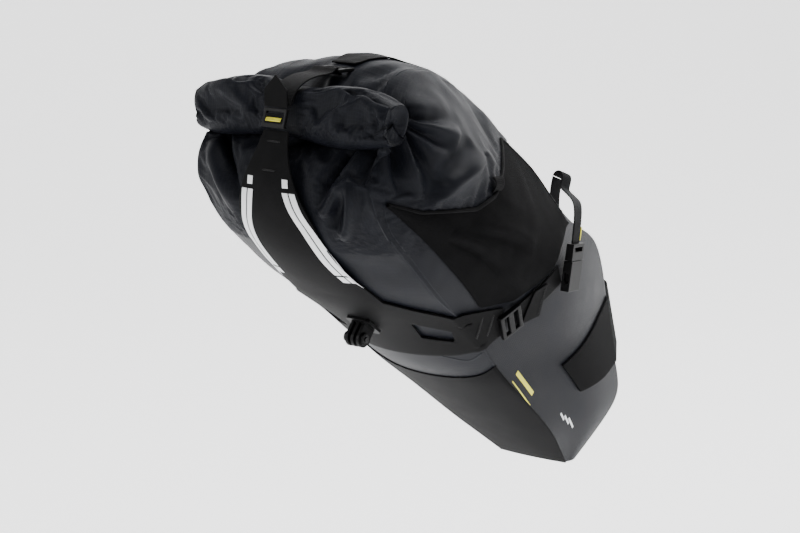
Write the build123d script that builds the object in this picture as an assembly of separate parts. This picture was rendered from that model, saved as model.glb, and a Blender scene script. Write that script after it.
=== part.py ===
"""Roll-top saddle bag for a bicycle: one STEP file per piece, in millimetres.

Frame: +X points to the front of the bicycle, +Y to its left, +Z up. The origin is on the axis
of the seatpost, at the height where the seatpost strap holds it. Pieces on the right side are
modelled, and their left twins are mirrored.
"""
from build123d import *
from math import cos, radians, sin
import os

# ---- what the bag is fastened to -------------------------------------------------------------
POST_RADIUS = 13.6           # 27.2 mm seatpost
POST_LEAN = 16.5             # lean from vertical, in degrees
RAIL_POINT = (-97.0, -24.0, 164.0)   # on the right saddle rail's axis, where the strap crosses it
RAIL_SLOPE = 21.0            # the rail drops towards the front by this many degrees
RAIL_RADIUS = 3.6            # 7 mm rail and a little room

# ---- thickness of the materials --------------------------------------------------------------
SHELL = 1.6                  # stiffened, laminated shell
SKIN_GAP = 0.3               # between the shell and what lies on it
SEAM_GAP = 0.5               # between the rear panel and its neighbours
FRONT_SEAM_GAP = 1.0         # between the front panel and its neighbours
PATCH = 1.0                  # stretch wing and abrasion patch
HARNESS = 1.6                # coated harness material
WEBBING = 1.5
LINER = 1.2                  # nose stiffener
CLEAR = 0.4                  # between pieces on different bodies

# ---- the shell's stations, from the nose to the mouth ----------------------------------------
# Each one: rear seam (x, z), front seam (x, z), half-widths at the rear seam, in the middle and
# at the front seam, and how far the rear and the front face bulge past their seams.
STATIONS = [
    (-104, -104, -88, -105, 38, 38, 36, 3, 2),
    (-125, -86, -58, -84, 47, 45, 38, 6, 3),
    (-150, -65, -30, -62, 57, 52, 39, 9, 4),
    (-185, -37, -22, -40, 64, 59, 39, 14, 5),
    (-225, -7, -31, -12, 70, 66, 40, 19, 5),
    (-258, 19, -43, 28, 74, 73, 41, 24, 5),
    (-290, 48, -54, 60, 80, 84, 44, 28, 7),
    (-325, 76, -78, 103, 85, 96, 50, 30, 10),
    (-365, 103, -125, 128, 91, 106, 60, 30, 16),
    (-400, 133, -172, 158, 95, 112, 70, 28, 22),
    (-427, 158, -212, 190, 95, 116, 76, 26, 28),
    (-446, 184, -255, 224, 95, 117, 76, 18, 30),
    (-453, 205, -298, 258, 93, 113, 70, 12, 27),
    (-447, 224, -338, 282, 93, 106, 66, 8, 17),
    (-441, 232, -376, 284, 95, 101, 76, 4, 9),
    (-437, 235, -404, 268, 97, 99, 90, 2, 4),
    (-435, 237, -421, 252, 98, 98, 96, 1, 1),
]

# ---- rolled closure --------------------------------------------------------------------------
ROLL_CENTRE = (-432.0, 258.0)
ROLL_HALF_HEIGHT = 21.0
ROLL_HALF_DEPTH = 17.0
ROLL_HALF_LENGTH = 106.0
ROLL_PINCH = 0.62            # how much of the section is left at the pinched ends
STIFFENER = (2.0, 26.0, 190.0)       # plastic strip rolled in with the mouth

# ---- outlines on the shell, in X and Z on the side, in Y and Z on the rear --------------------
WING = [(-437, 190), (-304, 84), (-262, 84), (-228, 100), (-196, 120), (-158, 134), (-172, 154),
        (-217, 193), (-264, 225), (-290, 206), (-318, 186), (-344, 178), (-404, 182)]
PATCH_TOP = [(76, 24), (58, 13), (26, 8), (-26, 8), (-58, 13), (-76, 24)]
BAND_REAR_BOTTOM = [(86, 50), (61, 38), (30, 35)]
BAND_REAR_TOP = [(95, 84), (68, 86), (52, 98)]
BAND_SIDE = [(-345, 90), (-320, 82), (-275, 81), (-262, 54), (-283, 46), (-310, 30), (-370, 60)]
WINDOW = [(42, 55), (66, 52), (72, 64), (48, 72)]
LINER_OUTLINE = [(-128, -88), (-300, 40), (-300, 64), (-30, 64), (-24, -60), (-90, -95)]
POST_PATCH = [(-157, 4), (-127, 16), (-85, 36), (-20, 50), (-20, -16), (-70, -26), (-118, -29)]

# ---- harness tail up the rear, one row a level: centre x, z, half-width, drop of the edges ----
TAIL_GAP = 0.5
TAIL = [
    (-397.0, 99.5, 50, 8.0),
    (-413.5, 113.0, 44, 6.0),
    (-433.0, 130.0, 42, 5.5),
    (-450.0, 148.5, 42, 5.5),
    (-461.5, 168.0, 40, 4.0),
    (-468.0, 188.0, 34, 2.5),
    (-468.5, 207.0, 26, 1.0),
    (-464.0, 226.0, 18, 0.5),
    (-457.5, 244.0, 13, 0.2),
]

# ---- closure strap over the roll, one row a level: centre x, z, half-width --------------------
CLOSURE = [
    (-402.0, 286.5, 13),
    (-418.0, 286.0, 13),
    (-436.0, 282.5, 12.5),
    (-448.5, 274.5, 12.5),
    (-454.5, 264.0, 12.5),
]
HOOK_TOP = (-456.5, 262.0)
HOOK_OUTWARD = (-0.96, 0, 0.28)
HOOK_HEIGHT = 16.0
HOOK_WIDTH = 25.0
HOOK_THICKNESS = 3.0
HOOK_SLOT = 3.0
HOOK_SLOT_DEPTH = 4.5        # of the slot's middle below the hook's top
HOOK_RIM = 3.0               # left beside the slot
CLOSURE_TACK = (16.0, 3.5, 0.6)      # width, height and thickness
CLOSURE_TACK_DEPTH = 9.5
TAB_BASE = 1.6               # above the hook's top
TAB_BACK = 1.5               # behind the hook's top edge
TAB_LENGTH = 28.0
TAB_SHOULDER = 16.0
TOP_LOCK_PLACE = (-389.0, 288.5)
TOP_LOCK = (20.0, 31.0, 3.0)
TOP_LOCK_SLOT = 4.5          # from the top ladder lock's middle to each slot
ANCHOR = [(-376, 295.5, 15, 0), (-362, 297.5, 17, 0.3), (-345, 297.5, 20, 1.0),
          (-322, 293.8, 24, 2.4)]

# ---- plastic hardware ------------------------------------------------------------------------
LOCK_LENGTH = 24.0           # ladder locks
LOCK_WIDTH = 27.0
LOCK_THICKNESS = 4.0
LOCK_SLOT = 5.0
LOCK_SLOT_PITCH = 11.0
LOCK_RAIL = 3.0              # each side of the slots
BUCKLE_WIDTH = 24.0          # side-release buckles on the rail straps
BUCKLE_THICKNESS = 8.0
BUCKLE_SOCKET = 27.0
BUCKLE_PLUG = 15.0
BUCKLE_WALL = 1.7
BUCKLE_FLOOR = 5.0           # solid end of the socket
BUCKLE_WINDOW = 9.0
WINDOW_SHIFT = 2.0
BUCKLE_REACH = 19.0          # of the plug's tongue and arms into the socket
BUCKLE_TINES = [(-7.6, 2.2), (0.0, 3.0), (7.6, 2.2)]     # their places across, and widths
PLUG_SLOT = 4.0
PLUG_SLOT_EDGE = 5.0         # from the plug's outer end to the slot's middle
TAG = (12.0, 1.8, 0.8)       # yellow tag on the rail strap
TAG_STAND = 3.0              # of the tag's middle from the strap's edge
RAIL_WEBBING = 15.0
SIDE_WEBBING = 20.0
BOLT_RADIUS = 2.5
BOLT_HEAD = (4.6, 4.0)       # radius and height
HEX_KEY = 2.4                # corner radius of the socket in the bolt's head
NUT_RADIUS = 4.5
NUT_HALF = 1.0
NUT_BOSS = (5.6, 2.5)        # radius and height
PRONG = 3.0
PRONG_PITCH = 6.2
PRONG_RADIUS = 7.5
PRONG_REACH = 12.0           # from the mount's plate to the bolt
PRONG_ROOT = 0.5             # of each prong sunk in the plate
SHANK_SHIFT = 0.6            # of the bolt's shank towards its nut
PLATE = (24.0, 26.0, 2.5)    # the mount's plate: along, across and thickness
PLATE_CORNER = 4.0
MOUNT_OUTWARD = (-0.62, 0, -0.785)

RUNNING = 0.06               # clearance of the bolt in its bore

# ---- pieces' places --------------------------------------------------------------------------
LOCK_PLACE = (-262.0, 67.0)          # x and z of the right ladder lock
SOCKET_PLACE = (-192.0, 97.0)        # x and z of the right buckle's middle
MOUNT_FOOT = (-348.5, 67.5)          # where the accessory mount's plate lies on the harness
STRAP_LOW, STRAP_HIGH = -16.0, 49.0  # the seatpost strap's edges, along the seatpost
STRAP_THICKNESS = 2.0
POST_MEET = -62.0                    # where the strap's arms meet the post, in degrees
POST_SEAM = (-31.0, -41.0)           # the bag's front seam, forward and to the left of the post
FLAP_LAP = 50.0                      # angle that the right flap ends at, over the left one
STRAP_RUN = (0.84, 0, 0.54)          # side webbing's direction
BUCKLE_RUN = (0.1, 0, 1.0)
WEBBING_START, WEBBING_END = (-256.0, 67.0), (-205.0, 100.0)
LOCK_TAB = [(-244, 60), (-241, 90), (-226, 95), (-222, 64)]
WING_TAB = [(-322, 189), (-306, 189), (-306, 200), (-322, 200)]
TACK_X = (-301.0, -287.0)
TACK_Z = (54.0, 76.0)
STRIP_THICKNESS = 0.4                # reflective strips
STRIP_WIDTH = 5.6
STRIP_SHIFT = 3.6
STRIP_LINE = [(22.5, 196), (27, 180), (33, 165), (36, 149), (37, 132), (40, 117)]
STRIP_BLOCK = [(17, 200), (24, 200), (22, 207), (15, 207)]


def post_point(along, forward, side):
    """A point given along the seatpost, forward of its axis and to the left of it."""
    lean = radians(POST_LEAN)
    x = -sin(lean) * along + cos(lean) * forward
    z = cos(lean) * along + sin(lean) * forward
    return Vector(x, side, z)


def station_point(station, along, side):
    """A point in a station's plane: along from the rear seam towards the front, and to a side."""
    rear_x, rear_z, front_x, front_z = station[:4]
    forward = Vector(front_x - rear_x, 0, front_z - rear_z).normalized()
    return Vector(rear_x, side, rear_z) + forward * along


def station_length(station):
    """The distance between a station's rear and front seams."""
    rear_x, rear_z, front_x, front_z = station[:4]
    return Vector(front_x - rear_x, 0, front_z - rear_z).length


def face_curve(station, grow, front, trim=0.0):
    """The rear or the front face's curve, from the right seam to the left seam."""
    half = station[6 if front else 4] + grow - trim
    bulge = station[8 if front else 7]
    outward = 1 if front else -1
    start = station_length(station) if front else 0
    crown = [(-1, 0), (-0.5, 0.75), (0, 1), (0.5, 0.75), (1, 0)]
    points = [
        station_point(station, start + outward * (grow + bulge * rise), half * across)
        for across, rise in crown
    ]
    return Spline(points)


def side_curve(station, grow):
    """The right side's curve, from the rear seam to the front seam."""
    length = station_length(station)
    rear_half, mid_half, front_half = (half + grow for half in station[4:7])
    route = [
        (-grow, rear_half),
        (0.25 * length, rear_half + 0.7 * (mid_half - rear_half)),
        (0.52 * length, mid_half),
        (0.78 * length, front_half + 0.58 * (mid_half - front_half)),
        (length + grow, front_half),
    ]
    return Spline([station_point(station, along, -out) for along, out in route])


def curve_of(station, grow, part, trim):
    """One of the three curves of a station, grown outwards: rear, front or side."""
    if part == "side":
        return side_curve(station, grow)
    return face_curve(station, grow, part == "front", trim)


def closed_face(first, second):
    """A flat face between two open curves that run the same way."""
    edges = [first, Line(first @ 1, second @ 1), second, Line(second @ 0, first @ 0)]
    return make_face(edges)


def sheet_layer(part, inner, outer, trim=0.0):
    """A layer on the rear, the front or the right side, between two distances from the shell."""
    faces = [
        closed_face(curve_of(station, inner, part, trim), curve_of(station, outer, part, trim))
        for station in STATIONS
    ]
    return loft(faces)


def whole_body(grow=0.0):
    """The space inside the shell's outer surface, grown by a distance."""
    faces = []
    for station in STATIONS:
        right = side_curve(station, grow)
        left = mirror(right, about=Plane.XZ)
        rear = face_curve(station, grow, front=False)
        front = face_curve(station, grow, front=True)
        faces.append(make_face([rear, left, front, right]))
    return loft(faces)


def side_outline(points, depth=200):
    """A prism through the right side, from its outline in X and Z."""
    outline = make_face(Polyline([(x, 0, z) for x, z in points], close=True))
    return extrude(outline, amount=depth, dir=(0, -1, 0))


def rear_outline(points, depth=460):
    """A prism through the rear face, from its outline in Y and Z."""
    outline = make_face(Polyline([(-500, y, z) for y, z in points], close=True))
    return extrude(outline, amount=depth, dir=(1, 0, 0))


# ---- shell -----------------------------------------------------------------------------------
def roll_solid(grow=0.0):
    """The rolled mouth: a flattened roll with pinched ends, grown by a distance."""
    faces = []
    half_length = ROLL_HALF_LENGTH + grow
    for side, share in ((-1, ROLL_PINCH), (-0.88, 0.94), (0, 1), (0.88, 0.94), (1, ROLL_PINCH)):
        plane = Plane(origin=(ROLL_CENTRE[0], side * half_length, ROLL_CENTRE[1]), z_dir=(0, 1, 0),
                      x_dir=(1, 0, 0))
        section = Ellipse(share * ROLL_HALF_DEPTH + grow, share * ROLL_HALF_HEIGHT + grow)
        faces.append(plane * section)
    return loft(faces)


def shell_panels():
    """The shell's four panels and the fold that closes the nose."""
    room_for_roll = roll_solid(SKIN_GAP)
    rear = sheet_layer("rear", -SHELL, 0, SEAM_GAP) - room_for_roll
    front = sheet_layer("front", -SHELL, 0, FRONT_SEAM_GAP) - room_for_roll
    side = sheet_layer("side", -SHELL, 0) - room_for_roll
    nose_station = STATIONS[0]
    right = side_curve(nose_station, 0)
    left = mirror(right, about=Plane.XZ)
    outline = make_face([face_curve(nose_station, 0, False), left,
                         face_curve(nose_station, 0, True), right])
    nose = extrude(outline, amount=SHELL, dir=(0, 0, -1))
    return {"rear_panel": rear, "front_panel": front, "right_side_panel": side,
            "left_side_panel": mirror(side, about=Plane.XZ), "nose_fold": nose}


def nose_stiffener():
    """The stiff sheet inside the nose: a floor with two sides."""
    outer = -SHELL - SKIN_GAP
    outline = side_outline(LINER_OUTLINE, 100)
    outline += mirror(outline, about=Plane.XZ)
    floor = sheet_layer("rear", outer - LINER, outer, SEAM_GAP) & outline
    side = sheet_layer("side", outer - LINER, outer) & outline
    return Compound(floor.solids() + side.solids() + mirror(side, about=Plane.XZ).solids())


def roll_pieces():
    """The rolled mouth, and the plastic strip inside it."""
    thickness, height, length = STIFFENER
    place = Pos(ROLL_CENTRE[0], 0, ROLL_CENTRE[1])
    strip = place * Box(thickness, length, height)
    pocket = place * Box(thickness + CLEAR, length + CLEAR, height + CLEAR)
    return {"roll_closure": roll_solid() - pocket, "roll_stiffener": strip}


# ---- skins and harness -----------------------------------------------------------------------
def wing():
    """The right stretch wing, on the side panel."""
    layer = sheet_layer("side", SKIN_GAP, SKIN_GAP + PATCH)
    return layer & side_outline(WING)


def underside_patch():
    """The abrasion patch on the lower rear face."""
    layer = sheet_layer("rear", SKIN_GAP, SKIN_GAP + PATCH)
    return layer & rear_outline([(-120, -103), (120, -103)] + PATCH_TOP)


def harness_band():
    """The part of the harness that goes round the bag, with a window each side of the middle."""
    inner = PATCH + 2 * SKIN_GAP
    rear = sheet_layer("rear", inner, inner + HARNESS)
    side = sheet_layer("side", inner, inner + HARNESS)
    half = BAND_REAR_BOTTOM[::-1] + [(120, 50), (120, 84)] + BAND_REAR_TOP
    rear = rear & rear_outline(half + [(-y, z) for y, z in reversed(half)])
    for sign in (-1, 1):
        rear = rear - rear_outline([(sign * y, z) for y, z in WINDOW])
    side = side & side_outline(BAND_SIDE)
    return rear + side + mirror(side, about=Plane.XZ)


def crescent(centre, outward, half_width, drop, inner, outer):
    """A strap's section: flat or crowned across, lying in the plane of outward and Y."""
    centre, outward = Vector(*centre), Vector(*outward).normalized()
    across = Vector(0, half_width, 0)
    curves = []
    for lift in (inner, outer):
        middle = centre + outward * lift
        curves.append(Spline([middle - across - outward * drop,
                              middle - across * 0.5 - outward * (drop * 0.25),
                              middle,
                              middle + across * 0.5 - outward * (drop * 0.25),
                              middle + across - outward * drop]))
    return closed_face(curves[0], curves[1])


def strap_over(rows, inner, outer):
    """A strap along the middle, from rows of centre x, z, half-width and edge drop."""
    faces = []
    last = len(rows) - 1
    for index, (x, z, half_width, drop) in enumerate(rows):
        before, after = rows[max(index - 1, 0)], rows[min(index + 1, last)]
        outward = (-(after[1] - before[1]), 0, after[0] - before[0])
        faces.append(crescent((x, 0, z), outward, half_width, drop, inner, outer))
    return loft(faces)


def ribbon(points, widths, normals, thickness):
    """Flat webbing through points, with a width vector and a normal at each of them."""
    faces = []
    for point, width, normal in zip(points, widths, normals):
        point, half = Vector(*point), Vector(*width) * 0.5
        rise = Vector(*normal).normalized() * thickness
        corners = [point - half, point + half, point + half + rise, point - half + rise]
        faces.append(make_face(Polyline(corners, close=True)))
    return loft(faces, ruled=True)


# ---- closure ---------------------------------------------------------------------------------
def closure_hook():
    """The slotted plate at the strap's end, with the bar tack sewn below its slot."""
    lean = Plane(origin=(HOOK_TOP[0], 0, HOOK_TOP[1]), x_dir=(0, -1, 0), z_dir=HOOK_OUTWARD)
    middle = HOOK_THICKNESS / 2
    hook = Pos(0, -HOOK_HEIGHT / 2, middle) * Box(HOOK_WIDTH, HOOK_HEIGHT, HOOK_THICKNESS)
    hook -= Pos(0, -HOOK_SLOT_DEPTH, middle) * Box(HOOK_WIDTH - 2 * HOOK_RIM, HOOK_SLOT,
                                                   2 * HOOK_THICKNESS)
    tack = Pos(0, -CLOSURE_TACK_DEPTH, HOOK_THICKNESS + CLOSURE_TACK[2] / 2) * Box(*CLOSURE_TACK)
    return lean * hook, lean * tack


def pull_tab():
    """The pointed tab that stands above the hook."""
    half = HOOK_WIDTH / 2
    outline = Polyline([(-half, TAB_BASE), (half, TAB_BASE), (half, TAB_SHOULDER),
                        (0, TAB_LENGTH), (-half, TAB_SHOULDER)], close=True)
    upright = Plane(origin=(HOOK_TOP[0] - TAB_BACK, 0, HOOK_TOP[1]), x_dir=(0, -1, 0),
                    z_dir=(-1, 0, 0))
    return extrude(upright * make_face(outline), amount=HARNESS)


def closure_pieces():
    """Strap, hook, tab, its bar tack, and the ladder lock and anchor that hold the strap."""
    strap = strap_over([(x, z, half, 0.0) for x, z, half in CLOSURE], -WEBBING, 0)
    hook, tack = closure_hook()
    length, width, thickness = TOP_LOCK
    lock = Box(length, width, thickness)
    for side in (-TOP_LOCK_SLOT, TOP_LOCK_SLOT):
        lock -= Pos(side, 0, 0) * Box(LOCK_SLOT, width - 2 * LOCK_RAIL - 1, 3 * thickness)
    lock = Pos(TOP_LOCK_PLACE[0], 0, TOP_LOCK_PLACE[1]) * lock
    return {"closure_strap": strap, "closure_hook": hook, "closure_bar_tack": tack,
            "pull_tab": pull_tab(), "top_ladder_lock": lock,
            "top_anchor": strap_over(ANCHOR, -HARNESS, 0)}


# ---- side adjusters and rail straps ----------------------------------------------------------
def side_frame(x, z, along, lift):
    """A plane on the right side at x and z: its X along the side, its Z out of it."""
    lateral = Axis((x, -300, z), (0, 1, 0))
    point, normal = whole_body().find_intersection_points(lateral)[0]
    normal = Vector(normal)
    if normal.Y > 0:
        normal = normal * -1
    along = Vector(*along)
    along = (along - normal * along.dot(normal)).normalized()
    return Plane(origin=Vector(point) + normal * lift, x_dir=along, z_dir=normal)


def framed_lock(length, width):
    """A ladder lock lying flat: three bars across, held by two side rails."""
    slot = Box(LOCK_SLOT, width - 2 * LOCK_RAIL, LOCK_THICKNESS * 2)
    lock = Box(length, width, LOCK_THICKNESS)
    for side in (-LOCK_SLOT_PITCH / 2, LOCK_SLOT_PITCH / 2):
        lock -= Pos(side, 0, 0) * slot
    return lock


def lock_frame():
    """The right ladder lock's plane, clear of the harness below it."""
    lift = PATCH + 2 * SKIN_GAP + HARNESS + CLEAR + LOCK_THICKNESS / 2 + 0.5
    return side_frame(*LOCK_PLACE, STRAP_RUN, lift)


def socket_frame():
    """The right buckle's plane, clear of the webbing below it."""
    lift = PATCH + 2 * SKIN_GAP + WEBBING + CLEAR + BUCKLE_THICKNESS / 2 + 0.5
    return side_frame(*SOCKET_PLACE, BUCKLE_RUN, lift)


def side_strip(start, end, half_width, inner, outer):
    """Webbing flat on the right side between two places given as x and z."""
    start, end = Vector(start[0], start[1]), Vector(end[0], end[1])
    across = (end - start).normalized().rotate(Axis.Z, 90) * half_width
    corners = [start - across, start + across, end + across, end - across]
    layer = sheet_layer("side", inner, outer)
    return layer & side_outline([(corner.X, corner.Y) for corner in corners])


def buckle_socket():
    """The buckle's socket, open at the top, with a window each side for the plug's arms."""
    height = BUCKLE_THICKNESS - 2 * BUCKLE_WALL
    body = Box(BUCKLE_SOCKET, BUCKLE_WIDTH, BUCKLE_THICKNESS)
    throat = Pos(BUCKLE_FLOOR / 2, 0, 0) * Box(BUCKLE_SOCKET - BUCKLE_FLOOR,
                                               BUCKLE_WIDTH - 3 * BUCKLE_WALL, height)
    window = Pos(-WINDOW_SHIFT, 0, 0) * Box(BUCKLE_WINDOW, BUCKLE_WIDTH + 2, height)
    return body - throat - window


def buckle_plug():
    """The buckle's plug: a frame with a webbing slot, a tongue and two springing arms."""
    start = BUCKLE_SOCKET / 2 + CLEAR
    body = Pos(start + BUCKLE_PLUG / 2, 0, 0) * Box(BUCKLE_PLUG, BUCKLE_WIDTH, BUCKLE_THICKNESS - 1)
    slot = Box(PLUG_SLOT, RAIL_WEBBING + 1, BUCKLE_THICKNESS * 2)
    plug = body - Pos(start + BUCKLE_PLUG - PLUG_SLOT_EDGE, 0, 0) * slot
    height = BUCKLE_THICKNESS - 2 * BUCKLE_WALL - 2 * CLEAR
    for side, width in BUCKLE_TINES:
        plug += Pos(start - BUCKLE_REACH / 2, side, 0) * Box(BUCKLE_REACH, width, height)
    return plug


def rail_loop():
    """The strap's turn over the saddle rail, and the rail's direction."""
    slope = radians(RAIL_SLOPE)
    along_rail = Vector(cos(slope), 0, -sin(slope))
    plane = Plane(origin=RAIL_POINT, x_dir=(0, 1, 0), z_dir=along_rail)
    ring = Circle(RAIL_RADIUS + WEBBING) - Circle(RAIL_RADIUS)
    upper = ring & (Pos(0, 10) * Rectangle(40, 20))
    return extrude(plane * upper, amount=RAIL_WEBBING / 2, both=True), plane, along_rail


def rail_strap():
    """The webbing from the plug up to the rail, with its turn over it, and its yellow tag."""
    frame = socket_frame()
    loop, plane, along_rail = rail_loop()
    start_x = BUCKLE_SOCKET / 2 + CLEAR + BUCKLE_PLUG + 0.3
    low = frame.from_local_coords(Vector(start_x, 0, -1.5))
    middle_low = frame.from_local_coords(Vector(start_x + 9, 0, -1.5))
    top = plane.from_local_coords(Vector(-RAIL_RADIUS, 0, 0))
    near_top = top + Vector(-7, -5, -7)
    rail_normal = plane.from_local_coords(Vector(-1, 0, 0)) - plane.origin
    widths = [frame.y_dir * RAIL_WEBBING, frame.y_dir * RAIL_WEBBING,
              along_rail * -RAIL_WEBBING, along_rail * -RAIL_WEBBING]
    normals = [frame.z_dir, frame.z_dir, rail_normal + Vector(0, 0, 0.3), rail_normal]
    strap = ribbon([low, middle_low, near_top, top], widths, normals, WEBBING) + loop
    tag_place = Vector(start_x + 1.5 + TAG[0] / 2, -RAIL_WEBBING / 2 - TAG_STAND,
                       TAG[2] / 2 - WEBBING)
    tag = Plane(origin=frame.from_local_coords(tag_place), x_dir=frame.x_dir,
                z_dir=frame.z_dir) * Box(*TAG)
    return strap, tag


def rail_anchor():
    """The webbing's other end, from the rail down to the bag's front panel."""
    plane, along_rail = rail_loop()[1:]
    top = plane.from_local_coords(Vector(RAIL_RADIUS, -CLEAR, 0))
    foot = Vector(top.X - 4, top.Y + 2, 0)
    down = Axis((foot.X, foot.Y, 400), (0, 0, -1))
    foot.Z = whole_body().find_intersection_points(down)[0][0].Z + 1.2
    width = along_rail * -RAIL_WEBBING
    return ribbon([top, foot], [width, width], [Vector(0, 1, 0)] * 2, WEBBING)


# ---- seatpost strap --------------------------------------------------------------------------
def post_plane():
    """The plane across the seatpost at the strap's lower edge."""
    return Plane(origin=post_point(STRAP_LOW, 0, 0), x_dir=post_point(0, 1, 0),
                 z_dir=post_point(1, 0, 0))


def arc_strip(radius, thickness, last):
    """A strip round the seatpost, from where the arm meets it to another angle, as a flat face."""
    arcs = []
    for r in (radius, radius + thickness):
        places = [radians(angle) for angle in (POST_MEET, (POST_MEET + last) / 2, last)]
        arcs.append(ThreePointArc(*[(r * cos(place), r * sin(place)) for place in places]))
    return closed_face(arcs[0], arcs[1])


def post_arm():
    """The right arm: flat on the side panel, then free from the bag's front seam to the post."""
    meet = Vector(cos(radians(POST_MEET)), sin(radians(POST_MEET))) * POST_RADIUS
    corner = Vector(*POST_SEAM)
    run = (meet - corner).normalized()
    outward = run.rotate(Axis.Z, -90) * STRAP_THICKNESS
    end = meet - run * CLEAR
    strip = make_face(Polyline(corner, end, end + outward, corner + outward, close=True))
    free = extrude(post_plane() * strip, amount=STRAP_HIGH - STRAP_LOW)
    layer = sheet_layer("side", SKIN_GAP, SKIN_GAP + STRAP_THICKNESS)
    patch = layer & side_outline(POST_PATCH)
    return Compound(patch.solids() + free.solids())


def post_flaps():
    """The flaps that wrap the post: the right one laps over the left one."""
    height = STRAP_HIGH - STRAP_LOW
    under = arc_strip(POST_RADIUS, STRAP_THICKNESS + CLEAR, -1)
    over = arc_strip(POST_RADIUS + STRAP_THICKNESS + CLEAR, STRAP_THICKNESS, FLAP_LAP)
    right = extrude(post_plane() * under, amount=height)
    right += extrude(post_plane() * over, amount=height)
    left = extrude(post_plane() * arc_strip(POST_RADIUS, STRAP_THICKNESS, -2), amount=height)
    return {"right_post_flap": right, "left_post_flap": mirror(left, about=Plane.XZ)}


def flap_pivot(layers):
    """The place that a flap turns about, on the outside of its root, on the right side."""
    radius = POST_RADIUS + layers * STRAP_THICKNESS + (layers - 1) * CLEAR
    angle = radians(POST_MEET)
    return post_plane().from_local_coords(Vector(radius * cos(angle), radius * sin(angle), 0))


# ---- accessory mount -------------------------------------------------------------------------
def mount_frame():
    """The accessory mount's plane: its Z out of the harness, its X down along the rear face."""
    outward = Vector(*MOUNT_OUTWARD)
    lift = (PATCH + 2 * SKIN_GAP + HARNESS) * 0.75 + SKIN_GAP
    foot = Vector(MOUNT_FOOT[0], 0, MOUNT_FOOT[1]) + outward * lift
    return Plane(origin=foot, x_dir=(-MOUNT_OUTWARD[2], 0, MOUNT_OUTWARD[0]), z_dir=outward)


def mount_body(bolt_axis, bolt_height):
    """The mount's plate with its three prongs and the boss for the nut."""
    length, width, thickness = PLATE
    body = Pos(0, 0, thickness / 2) * Box(length, width, thickness)
    body = fillet(body.edges().filter_by(Axis.Z), PLATE_CORNER)
    for index in (-1, 0, 1):
        side = Pos(0, index * PRONG_PITCH, 0)
        body += side * (Pos(0, 0, (thickness - PRONG_ROOT + bolt_height) / 2)
                        * Box(2 * PRONG_RADIUS, PRONG, bolt_height - thickness + PRONG_ROOT))
        body += side * (bolt_axis * Cylinder(PRONG_RADIUS, PRONG))
    boss_side = PRONG_PITCH + (PRONG + NUT_BOSS[1]) / 2
    return body + Pos(0, boss_side, 0) * (bolt_axis * Cylinder(*NUT_BOSS))


def accessory_mount():
    """A plate with three prongs, the bolt through them and its trapped nut."""
    frame = mount_frame()
    bolt_height = PLATE[2] + PRONG_REACH
    bolt_axis = Pos(0, 0, bolt_height) * Rot(90, 0, 0)
    bore = Cylinder(BOLT_RADIUS + RUNNING, 60)
    body = mount_body(bolt_axis, bolt_height) - bolt_axis * bore
    nut_place = Pos(0, PRONG_PITCH + PRONG / 2 + NUT_BOSS[1] - NUT_HALF, 0) * bolt_axis
    body -= nut_place * extrude(RegularPolygon(NUT_RADIUS + 0.1, 6), amount=1.5 * NUT_HALF,
                                both=True)
    nut = nut_place * (extrude(RegularPolygon(NUT_RADIUS, 6), amount=NUT_HALF, both=True) - bore)
    shank_length = 2 * PRONG_PITCH + PRONG + NUT_BOSS[1] + BOLT_HEAD[1] - 0.5
    shank = Pos(0, SHANK_SHIFT, 0) * (bolt_axis * Cylinder(BOLT_RADIUS, shank_length))
    head_side = -(PRONG_PITCH + (PRONG + BOLT_HEAD[1]) / 2 + CLEAR)
    key = Pos(0, 0, 1) * extrude(RegularPolygon(HEX_KEY, 6), 3)
    head = Pos(0, head_side, 0) * (bolt_axis * (Cylinder(*BOLT_HEAD) - key))
    return {"accessory_mount": frame * body, "mount_nut": frame * nut,
            "mount_bolt": frame * (shank + head)}


# ---- marks and stitches ----------------------------------------------------------------------
def tail_pieces():
    """The harness tail, and the reflective strips printed along its two edges."""
    tail = strap_over(TAIL, TAIL_GAP, TAIL_GAP + HARNESS)
    top = TAIL_GAP + HARNESS + 0.05
    layer = strap_over(TAIL, top, top + STRIP_THICKNESS)
    strips = []
    for sign in (-1, 1):
        for shift in (-STRIP_SHIFT, STRIP_SHIFT):
            inner = [(sign * (y + shift - STRIP_WIDTH / 2), z) for y, z in STRIP_LINE]
            outer = [(sign * (y + shift + STRIP_WIDTH / 2), z) for y, z in reversed(STRIP_LINE)]
            strips += (layer & rear_outline(inner + outer)).solids()
        block = [(sign * y, z) for y, z in STRIP_BLOCK]
        strips += (layer & rear_outline(block)).solids()
    return {"harness_tail": tail, "reflective_strips": Compound(strips)}


def band_tacks():
    """Bar tacks that divide the harness band into loops, on both sides."""
    top = PATCH + 2 * SKIN_GAP + HARNESS + 0.1
    layer = sheet_layer("side", top, top + 0.5)
    tacks = []
    for x in TACK_X:
        low, high = TACK_Z
        tack = layer & side_outline([(x, low), (x + 2, low), (x + 2, high), (x, high)])
        tacks += tack.solids() + mirror(tack, about=Plane.XZ).solids()
    return Compound(tacks)


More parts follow.
